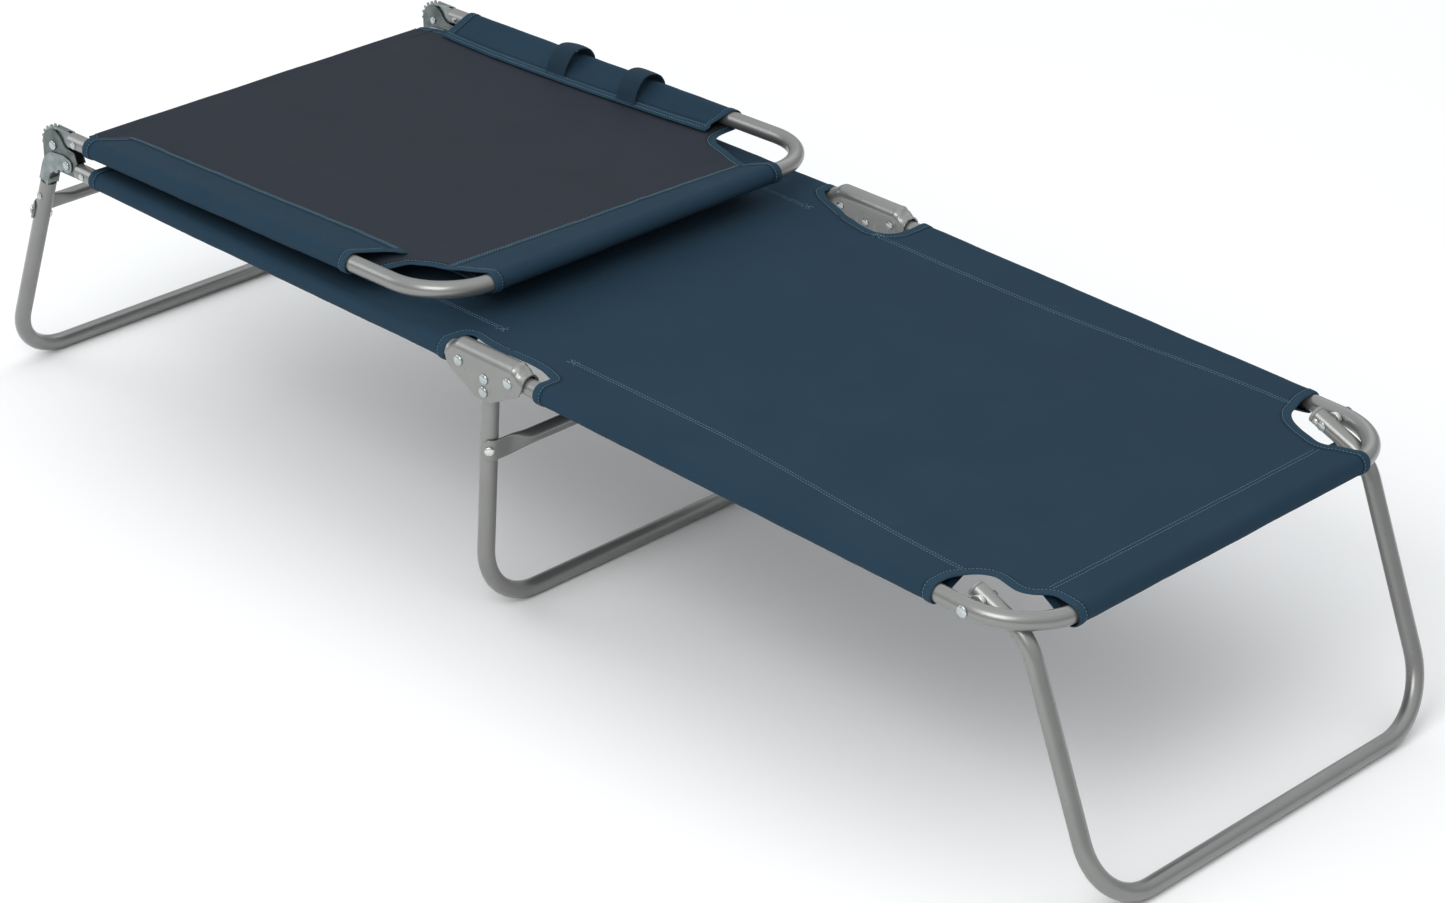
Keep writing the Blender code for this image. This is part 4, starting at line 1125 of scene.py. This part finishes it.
def stitch_mesh(rows):
    """Thread beads along rows of (point, normal) pairs in space."""
    shape = bmesh.new()
    for row in rows:
        points = np.array([point for point, _ in row], float)
        gone = run_lengths(points)
        for index in range(int(gone[-1] / STITCH_PITCH)):
            at = (index + 0.5) * STITCH_PITCH
            start, end = (Vector([np.interp(at + d, gone, points[:, k]) for k in range(3)])
                          for d in (-STITCH_LENGTH / 2, STITCH_LENGTH / 2))
            near = int(np.argmin(np.abs(gone - at)))
            bead(shape, start, end, row[near][1])
    return finished(shape, outward=False)


def bead(shape, start, end, normal):
    """One stitch: a short thread that dips into the cloth at both ends."""
    way = (end - start).normalized()
    side = way.cross(normal).normalized()
    turns = [math.tau * k / STITCH_SIDES for k in range(STITCH_SIDES)]
    rings = []
    for share, swell, rise in STITCH_RINGS:
        centre = start.lerp(end, share) + normal * (STITCH_R * rise)
        rings.append([shape.verts.new(centre + (side * math.cos(a) + normal * math.sin(a)) * STITCH_R * swell)
                      for a in turns])
    skin(shape, rings, closed=True)
    shape.faces.new(rings[0][::-1])
    shape.faces.new(rings[-1])


def on_sheet(sheet, path, side, lift=FACE_LIFT):
    """Points of the cut with their normals, on the sheet's blue face or, at BACK_LIFT, on its other face."""
    row = []
    for along, out in path:
        point = sheet.chart(along, out, side, lift)
        normal = (sheet.chart(along, out, side, lift + 0.001) - point).normalized()
        row.append((point, normal if lift > 0 else -normal))
    return row


def inset(line, distance):
    """A polyline moved to its left by a distance, with its corners rounded."""
    ways = np.diff(line, axis=0)
    ways = ways / np.maximum(np.linalg.norm(ways, axis=1), 1e-9)[:, None]
    lefts = np.stack([-ways[:, 1], ways[:, 0]], axis=1)
    result = [line[0] + lefts[0] * distance]
    for index in range(1, len(line) - 1):
        one, two = lefts[index - 1], lefts[index]
        for share in (0.0, 0.33, 0.67, 1.0):
            mixed = one * (1 - share) + two * share
            result.append(line[index] + mixed / max(np.linalg.norm(mixed), 1e-9) * distance)
    result.append(line[-1] + lefts[-1] * distance)
    return np.array(result)


def dense(path, step=0.0015):
    """A polyline with points at close, even steps."""
    gone = run_lengths(path)
    places = np.linspace(0.0, gone[-1], max(2, int(gone[-1] / step)))
    return np.stack([np.interp(places, gone, path[:, k]) for k in range(2)], axis=1)


def sewn_edges(sheet, side, first, last, lift=FACE_LIFT, around=0.028):
    """Stitch rows along the turned edges of one side, and round the tubes by a length."""
    rows = []
    limit = last + (around if sheet.bar else 0.0)
    for line in sheet.lines[side]:
        path = dense(inset(line, -TURNED_EDGE))
        kept = [p for p in path if first <= p[0] <= limit
                and p[1] < RAIL_Y + min(around, hem_length(sheet.reach(p[0], side)) - 0.004)]
        if len(kept) > 2:
            rows.append(on_sheet(sheet, kept, side, lift))
    return rows


# ---------------------------------------------------------------- the bed

BED_TOP = BED_Z + WRAP
HEAD_HEM = (-0.6130, -0.0457)
FOOT_HEM = (0.081, 0.595)
TURN_START_X = -0.655
PANEL_START_X = -0.650
HEAD_REACH = 0.060            # how far in from the rails the bed's side seams are
FOOT_NARROWING = 0.021        # less at the foot end
FOOT_END_REACH = 0.033
END_SEAM_X = (0.6665, 0.6705)
SEAM_STEP = 0.006
SEAM_SPACING = 0.0035
FLAP_SEAMS = (0.0030, 0.0070)
TACK_OUT = (-0.004, 0.005)    # a tack's lower and upper stitch ends, from its middle


def bed_axis(x):
    """Height of the bed's rails: level on the head side, falling to the foot bar on the other."""
    return BED_Z - max(x - FOOT_PIVOT_X, 0.0) * math.tan(FOOT_FALL)


def bed_sag(x, y):
    """The bed hangs a little between its rails, and is held up at both ends."""
    share = max(0.0, 1 - (y / RAIL_Y) ** 2)
    ends = smooth_step(-0.70, -0.45, x) * smooth_step(FOOT_BAR.x, FOOT_BAR.x - 0.22, x)
    return 0.0030 * share * ends


def corner(points, hem_end):
    """A cut-out's edge from a hem's end on, smooth through its points."""
    line = curve_line([(hem_end, FIELD_Y)] + points)
    line[:, 0] = np.maximum.accumulate(line[:, 0] + np.arange(len(line)) * 1e-7)
    return line


def head_edges():
    """The edge of the bed's cloth from the head turn to the middle of the brackets."""
    head = curve_line([(TURN_START_X, 0.2480), (-0.634, 0.2500), (-0.6205, 0.2530), (-0.6138, 0.2595),
                       (HEAD_HEM[0], FIELD_Y)])
    near = corner([(-0.0450, 0.2565), (-0.0405, 0.2530), (-0.0330, 0.2535), (-0.0200, 0.2560),
                   (0.0, 0.2570), (BRACKET_X, 0.2560)], HEAD_HEM[1])
    far = corner([(-0.0445, 0.2600), (-0.0395, 0.2565), (-0.0303, 0.2510), (-0.0095, 0.2430),
                  (0.0040, 0.2370), (BRACKET_X, 0.2340)], HEAD_HEM[1])
    return {-1: np.vstack([head, near]), 1: np.vstack([head, far])}


def foot_edges():
    near_bracket = curve_line([(BRACKET_X, 0.2560), (0.0245, 0.2550), (0.045, 0.2545), (0.058, 0.2553),
                               (0.0685, 0.2580), (0.0770, 0.2605), (FOOT_HEM[0], FIELD_Y)])
    far_bracket = curve_line([(BRACKET_X, 0.2340), (0.0352, 0.2280), (0.0500, 0.2250), (0.0630, 0.2260),
                              (0.0735, 0.2325), (0.0795, 0.2430), (0.0806, 0.2540), (FOOT_HEM[0], FIELD_Y)])
    near = corner([(0.5965, 0.2560), (0.603, 0.2440), (0.611, 0.2350), (0.622, 0.2300), (0.637, 0.2320),
                   (0.653, 0.2335), (0.665, 0.2290), (0.674, 0.2200), (0.682, 0.2165), (FOOT_BAR.x, 0.2180)],
                  FOOT_HEM[1])
    far = corner([(0.5965, 0.2540), (0.601, 0.2400), (0.606, 0.2250), (0.617, 0.2130), (0.630, 0.2060),
                  (0.645, 0.2005), (0.658, 0.1965), (0.668, 0.1970), (0.679, 0.2040), (FOOT_BAR.x, 0.2120)],
                 FOOT_HEM[1])
    return {-1: np.vstack([near_bracket, near]), 1: np.vstack([far_bracket, far])}


def bed_reach(x, _side):
    """How far in from the rail a side seam is; the same on both sides of the bed."""
    return HEAD_REACH - FOOT_NARROWING * smooth_step(0.25, 0.60, x)


BED_HEAD = Sheet(1, bed_axis, bed_sag, head_edges(), HEAD_HEM, bed_reach)
BED_FOOT = Sheet(1, bed_axis, bed_sag, foot_edges(), FOOT_HEM, bed_reach,
                 bar=(FOOT_BAR.x, FOOT_BAR.z), end_reach=FOOT_END_REACH)


def seam_rows(sheet, first, last, side):
    """The two rows that sew a side hem's free edge to the sheet."""
    rows = []
    for offset in (0.0, SEAM_SPACING):
        path = [(x, RAIL_Y - sheet.reach(x, side) + 0.003 + offset)
                for x in np.arange(first, last, SEAM_STEP)]
        rows.append(on_sheet(sheet, path, side))
    return rows


def tack_rows(sheet, x, side, way):
    """A short cross of stitches where a seam ends."""
    low, high = (RAIL_Y - sheet.reach(x, side) + 0.005 + out for out in TACK_OUT)
    back, bar, ahead = (x + way * along for along in (-0.004, 0.004, 0.009))
    cross = (((back, low), (ahead, high)), ((back, high), (ahead, low)),
             ((bar, low - 0.002), (bar, high + 0.002)))
    return [on_sheet(sheet, np.linspace(a, b, 5), side) for a, b in cross]


def across_row(sheet, along, limit, side):
    """One side's half of a row of stitches across the sheet, from its middle to a limit."""
    return on_sheet(sheet, [(along, out) for out in np.arange(0.0, limit, SEAM_STEP)], side)


def add_cloth(name, part, mesh, rows, finish, replaces=()):
    """A sheet and its stitching, both moved the same way."""
    pieces = (add_piece(f"{name}_cloth{part}", mesh, SHEET, replaces=replaces, sharp=70),
              add_piece(f"{name}{part}_stitching", stitch_mesh(rows), [THREAD], sharp=80))
    for piece in pieces:
        finish(piece)
    return pieces


def make_bed_head():
    def finish(obj):
        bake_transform(obj, "head_section", "centre",
                 start=(HEAD_HEM[1], 0, BED_TOP), end=(BRACKET_X, 0, BED_TOP))

    seam_end = HEAD_HEM[1] + 0.012
    rows = []
    for side in SIDES:
        rows += seam_rows(BED_HEAD, HEAD_HEM[0], seam_end, side)
        rows += tack_rows(BED_HEAD, seam_end, side, 1)
        rows += sewn_edges(BED_HEAD, side, TURN_START_X, BRACKET_X)
    mesh = sheet_mesh(BED_HEAD, TURN_START_X, BRACKET_X)
    return add_cloth("bed", "_head", mesh, rows, finish, ["bed_fabric_head"])


def make_bed_foot():
    def finish(obj):
        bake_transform(obj, "centre", "foot_section",
                 start=(BRACKET_X, 0, BED_TOP), end=(FOOT_HEM[0], 0, BED_TOP))

    seam_start = FOOT_HEM[0] - 0.010
    rows = []
    for side in SIDES:
        rows += seam_rows(BED_FOOT, seam_start, FOOT_HEM[1], side)
        rows += tack_rows(BED_FOOT, seam_start, side, -1)
        rows += sewn_edges(BED_FOOT, side, BRACKET_X, FOOT_BAR.x)
        for along in END_SEAM_X:
            rows.append(across_row(BED_FOOT, along, BED_FOOT.half(along, side) - 0.012, side))
    mesh = sheet_mesh(BED_FOOT, BRACKET_X, FOOT_BAR.x)
    return add_cloth("bed", "_foot", mesh, rows, finish, ["bed_fabric_foot"])


# ---------------------------------------------------------------- the head panel and the turn

PANEL_BAR = PANEL @ Vector((PANEL_END_X, 0.0, PANEL_TUBE_Z))
PANEL_HEM = (-0.6210, -0.193)


def panel_axis(x):
    """Height of the panel's tube axes, rising from the hub."""
    return HUB[1] + PANEL_TUBE_Z / math.cos(PANEL_RISE) + (x - HUB[0]) * math.tan(PANEL_RISE)


def panel_sag(x, y):
    share = max(0.0, 1 - (y / RAIL_Y) ** 2)
    ends = smooth_step(PANEL_START_X, -0.45, x) * smooth_step(PANEL_BAR.x, PANEL_BAR.x - 0.2, x)
    return 0.0025 * share * ends


def panel_edges():
    hinge = curve_line([(PANEL_START_X, 0.2500), (-0.635, 0.2530), (-0.6245, 0.2575),
                        (PANEL_HEM[0], FIELD_Y)])
    near = corner([(-0.1860, 0.2550), (-0.1780, 0.2450), (-0.1745, 0.2330), (-0.1700, 0.2200),
                   (-0.1592, 0.2126), (-0.1428, 0.2045), (-0.1247, 0.2005), (-0.1032, 0.2020),
                   (-0.085, 0.2065), (PANEL_BAR.x, 0.2110)], PANEL_HEM[1])
    far = corner([(-0.1915, 0.2480), (-0.1870, 0.2390), (-0.1787, 0.2326), (-0.1650, 0.2275),
                  (-0.1495, 0.2219), (-0.1302, 0.2148), (-0.1114, 0.2090), (-0.090, 0.2030),
                  (PANEL_BAR.x, 0.1995)], PANEL_HEM[1])
    return {-1: np.vstack([hinge, near]), 1: np.vstack([hinge, far])}


PANEL_REACH_X = (-0.640, -0.600, -0.530, -0.430, -0.345, -0.265, -0.200)
PANEL_REACH = {-1: (0.058, 0.065, 0.0646, 0.0661, 0.0690, 0.0708, 0.0700),
               1: (0.037, 0.042, 0.0450, 0.0440, 0.0410, 0.0370, 0.0330)}
PANEL_END_REACH = 0.0605


def panel_reach(x, side):
    """The sheet sits a little askew, so its right flap is wider than its left one."""
    return float(np.interp(x, PANEL_REACH_X, PANEL_REACH[side]))


PANEL_SHEET = Sheet(-1, panel_axis, panel_sag, panel_edges(), PANEL_HEM, panel_reach,
                    bar=(PANEL_BAR.x, PANEL_BAR.z), end_reach=PANEL_END_REACH, end_skew=0.05,
                    slant={-1: (0.010, -0.003, 0.007), 1: (0.006, -0.019, 0.004)})


def make_panel():
    ends = (PANEL_START_X, PANEL_BAR.x)
    xs = np.arange(PANEL_HEM[0] + 0.004, PANEL_HEM[1] - 0.004, SEAM_STEP)
    rows = []
    for side in SIDES:
        rows += sewn_edges(PANEL_SHEET, side, *ends, around=0.085)
        rows += sewn_edges(PANEL_SHEET, side, *ends, BACK_LIFT, around=0.0)
        for inward in FLAP_SEAMS:
            path = [(x, RAIL_Y + hem_length(panel_reach(x, side)) - inward) for x in xs]
            rows.append(on_sheet(PANEL_SHEET, path, side))
    for inward in FLAP_SEAMS:
        along = PANEL_BAR.x + hem_length(PANEL_END_REACH) - inward
        for side in SIDES:
            rows.append(across_row(PANEL_SHEET, along, PANEL_SHEET.half(PANEL_BAR.x, side) - 0.004, side))
    return add_cloth("panel", "", sheet_mesh(PANEL_SHEET, *ends), rows,
                     lambda obj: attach(obj, "head_panel"), ["panel_fabric"])


TURN_APEX_X = -0.672


def turn_path():
    """(x, z, normal x, normal z) along the turn from the bed's sheet up to the panel's, on the blue face."""
    low = bed_axis(TURN_START_X) + WRAP - bed_sag(TURN_START_X, 0)
    high = panel_axis(PANEL_START_X) - WRAP
    radius = (high - low) / 2
    centre = (TURN_APEX_X + radius, (low + high) / 2)
    path = [(TURN_START_X + (centre[0] - TURN_START_X) * k / 5, low, 0.0, 1.0) for k in range(5)]
    for step in range(17):
        a = -math.pi / 2 - math.pi * step / 16
        path.append((centre[0] + radius * math.cos(a), centre[1] + radius * math.sin(a),
                     -math.cos(a), -math.sin(a)))
    path += [(centre[0] + (PANEL_START_X - centre[0]) * k / 6, high, 0.0, -1.0) for k in range(1, 7)]
    return path


def turn_half(share):
    """Half the turn's width: cut in beside the hubs."""
    return float(np.interp(share, [0.0, 0.2, 0.5, 0.8, 1.0], [0.2480, 0.2430, 0.2365, 0.2420, 0.2500]))


def turn_point(x, z, nx, nz, y, distance):
    """A point of the turn, lifted where its turned edge is, and a little uneven."""
    lift = 0.0005 * smooth_step(0.0, 0.0015, distance) * smooth_step(0.010, 0.008, distance)
    lift += 0.0006 * noise.noise(Vector((x * 30, y * 14, z * 30)))
    return Vector((x + nx * lift, y, z + nz * lift))


def make_turn():
    """The strip of cloth that goes round from the bed to the head panel."""
    path = turn_path()
    shape = new_cloth()
    rows, marks, side_rows = [], [], {side: [] for side in SIDES}
    for index, (x, z, nx, nz) in enumerate(path):
        half = turn_half(index / (len(path) - 1))
        ys = [-(half - d) for d in EDGE_COLUMNS]
        ys += list(np.linspace(ys[-1], -ys[-1], 2 * FIELD_COLUMNS + 1))[1:-1]
        ys += [half - d for d in reversed(EDGE_COLUMNS)]
        marks.append([half - abs(y) for y in ys])
        rows.append([turn_point(x, z, nx, nz, y, distance) for y, distance in zip(ys, marks[-1])])
        back = Vector((-nx, 0.0, -nz))
        for side in SIDES:
            point = Vector((x, side * (half - TURNED_EDGE), z)) - back * BACK_LIFT
            side_rows[side].append((point, back))
    grid_faces(shape, rows, marks)
    low, high = path[0][1] + 0.0004, path[-1][1] - 0.0004

    def finish(obj):
        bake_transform(obj, "head_section", "head_panel", start=(HUB[0], 0, low), end=(HUB[0], 0, high))

    mesh = finished_cloth(shape, lambda centre: centre.z, 1)
    return add_cloth("head_turn", "", mesh, side_rows.values(), finish)


# ---------------------------------------------------------------- strap loops

LOOP_THICK = 0.0014
LOOP_PLACES = ((1, 0.2250, 0.2530), (2, 0.3380, 0.3660))


def make_strap_loop(number, start, end):
    """A webbing loop that stands over the left hem of the panel."""
    top = PANEL_TUBE_Z + 0.0232
    spine = curve_line([(0.2360, 0.0075), (0.2420, 0.0215), (0.2530, top - 0.0022), (0.2660, top - 0.0004),
                        (0.2800, 0.0300), (0.2882, 0.0200), (0.2885, 0.0120), (0.2868, 0.0060)], 0.0018)
    ways = np.gradient(spine, axis=0)
    ways /= np.linalg.norm(ways, axis=1)[:, None]
    normals = np.stack([-ways[:, 1], ways[:, 0]], axis=1)
    half = (end - start) / 2
    middle = (start + end) / 2
    across = np.sin(np.linspace(-math.pi / 2, math.pi / 2, 15)) * half
    shape = bmesh.new()
    rows = []
    for index, (point, normal) in enumerate(zip(spine, normals)):
        share = index / (len(spine) - 1)
        row = []
        for x in across:
            crown = 0.0009 * math.sin(math.pi * share) * (1 - (x / half) ** 2)
            wave = 0.0007 * noise.noise(Vector((x * 90 + number * 7, share * 3.0, 0.4)))
            u, v = point + normal * (crown + wave - 0.0009)
            row.append(shape.verts.new((middle + x + 0.0015 * math.sin(share * 3 + number), u, v)))
        rows.append(row)
    skin(shape, rows)
    mesh = with_modifier(finished(shape), "SOLIDIFY", thickness=LOOP_THICK, offset=0.0)
    mesh.transform(PANEL)
    loop = add_piece(f"strap_loop_{number}_webbing", mesh, [WEBBING], "head_panel",
                     [f"strap_loop_{number}"], sharp=60)


# ---------------------------------------------------------------- stage

CAMERA_AT = (2.57150, -2.62974, 2.00241)
CAMERA_TURN = tuple(math.radians(a) for a in (43.643, 27.458, 1.583))


def make_camera():
    azimuth, elevation, roll = CAMERA_TURN
    data = bpy.data.cameras.new("camera")
    data.lens = 98.91
    data.sensor_width = 36.0
    data.sensor_fit = "HORIZONTAL"
    data.clip_end = 50.0
    camera = bpy.data.objects.new("camera", data)
    turn = (Matrix.Rotation(azimuth, 4, "Z") @ Matrix.Rotation(math.pi / 2 - elevation, 4, "X")
            @ Matrix.Rotation(roll, 4, "Z"))
    camera.matrix_world = Matrix.Translation(CAMERA_AT) @ turn
    bpy.context.scene.collection.objects.link(camera)
    bpy.context.scene.camera = camera


def area_light(name, place, target, size, power, colour=(1.0, 1.0, 1.0)):
    data = bpy.data.lights.new(name, "AREA")
    data.shape = "RECTANGLE"
    data.size, data.size_y = size
    data.energy = power
    data.color = colour
    light = bpy.data.objects.new(name, data)
    way = Vector(target) - Vector(place)
    light.matrix_world = Matrix.Translation(place) @ way.to_track_quat("-Z", "Y").to_matrix().to_4x4()
    bpy.context.scene.collection.objects.link(light)


def make_stage():
    """A pale floor, a room with a bright ceiling, and soft lamps above and to the side."""
    shape = bmesh.new()
    bmesh.ops.create_grid(shape, x_segments=1, y_segments=1, size=12.0)
    floor = bpy.data.objects.new("floor", finished(shape, outward=False))
    bpy.context.scene.collection.objects.link(floor)
    made = Nodes("floor")
    made.set(Base_Color=(0.92, 0.92, 0.92), Roughness=0.9, Specular_IOR_Level=0.1)
    floor.data.materials.append(made.material)
    world = bpy.data.worlds.new("room")
    world.use_nodes = True
    tree = world.node_tree
    background = tree.nodes["Background"]
    background.inputs["Color"].default_value = (0.96, 0.98, 1.0, 1.0)
    direction = tree.nodes.new("ShaderNodeTexCoord")
    split = tree.nodes.new("ShaderNodeSeparateXYZ")
    ceiling = tree.nodes.new("ShaderNodeMapRange")
    ceiling.inputs["To Min"].default_value = 0.35
    ceiling.inputs["To Max"].default_value = 1.25
    tree.links.new(direction.outputs["Generated"], split.inputs[0])
    tree.links.new(split.outputs["Z"], ceiling.inputs["Value"])
    tree.links.new(ceiling.outputs["Result"], background.inputs["Strength"])
    bpy.context.scene.world = world
    bpy.context.scene.view_settings.view_transform = "Standard"
    area_light("key", (0.9, -2.2, 2.2), (0.0, 0.0, 0.2), (1.6, 1.6), 38.0, (1.0, 0.99, 0.97))
    area_light("side", (-2.4, -1.6, 1.5), (-0.2, 0.0, 0.2), (1.4, 1.4), 12.0, (0.95, 0.98, 1.0))
    area_light("back", (-0.8, 2.4, 2.0), (0.0, 0.0, 0.2), (2.0, 1.0), 4.0)


# ---------------------------------------------------------------- everything

# Mean widths of the sheets' flat parts and end hems, between their cut-outs
HEAD_FIELD, FOOT_FIELD, PANEL_FIELD = 0.51, 0.51, 0.50
FOOT_END_WIDTH, PANEL_END_WIDTH = 0.42, 0.41


def declare_cloth(bed_head, bed_foot, panel, turn):
    """Each sheet's flat size: its width round both hems, and its length with the end hem."""
    width = 2 * (RAIL_Y + hem_length(HEAD_REACH))
    length = BRACKET_X - TURN_START_X
    area = HEAD_FIELD * length + (HEAD_HEM[1] - HEAD_HEM[0]) * (width - HEAD_FIELD)
    length, end_hem = FOOT_BAR.x - BRACKET_X, hem_length(FOOT_END_REACH)
    area = FOOT_FIELD * length + FOOT_END_WIDTH * end_hem
    area += (FOOT_HEM[1] - FOOT_HEM[0]) * (width - 2 * FIELD_Y)
    length, end_hem = PANEL_BAR.x - PANEL_START_X, hem_length(PANEL_END_REACH)
    width = sum(RAIL_Y + hem_length(float(np.mean(PANEL_REACH[side]))) for side in SIDES)
    area = PANEL_FIELD * length + PANEL_END_WIDTH * end_hem
    area += (PANEL_HEM[1] - PANEL_HEM[0]) * (width - PANEL_FIELD)
    length = float(run_lengths(np.array(turn_path())[:, :2])[-1])


make_camera()
make_stage()
make_tubes()
make_brace("mid_leg_brace", "centre", MID_LEG_FRAME, (0.0, 0.0, MID_BRACE_UP), 1)
make_brace("head_leg_brace", "head_leg", HEAD_LEG_FRAME, (HEAD_LEG_OFFSET, 0.0, HEAD_BRACE_DOWN), -1)
make_brackets()
make_hinges()
make_foot_leg_fittings()
finish_cad_nodes()
declare_cloth(make_bed_head(), make_bed_foot(), make_panel(), make_turn())
for place in LOOP_PLACES:
    make_strap_loop(*place)
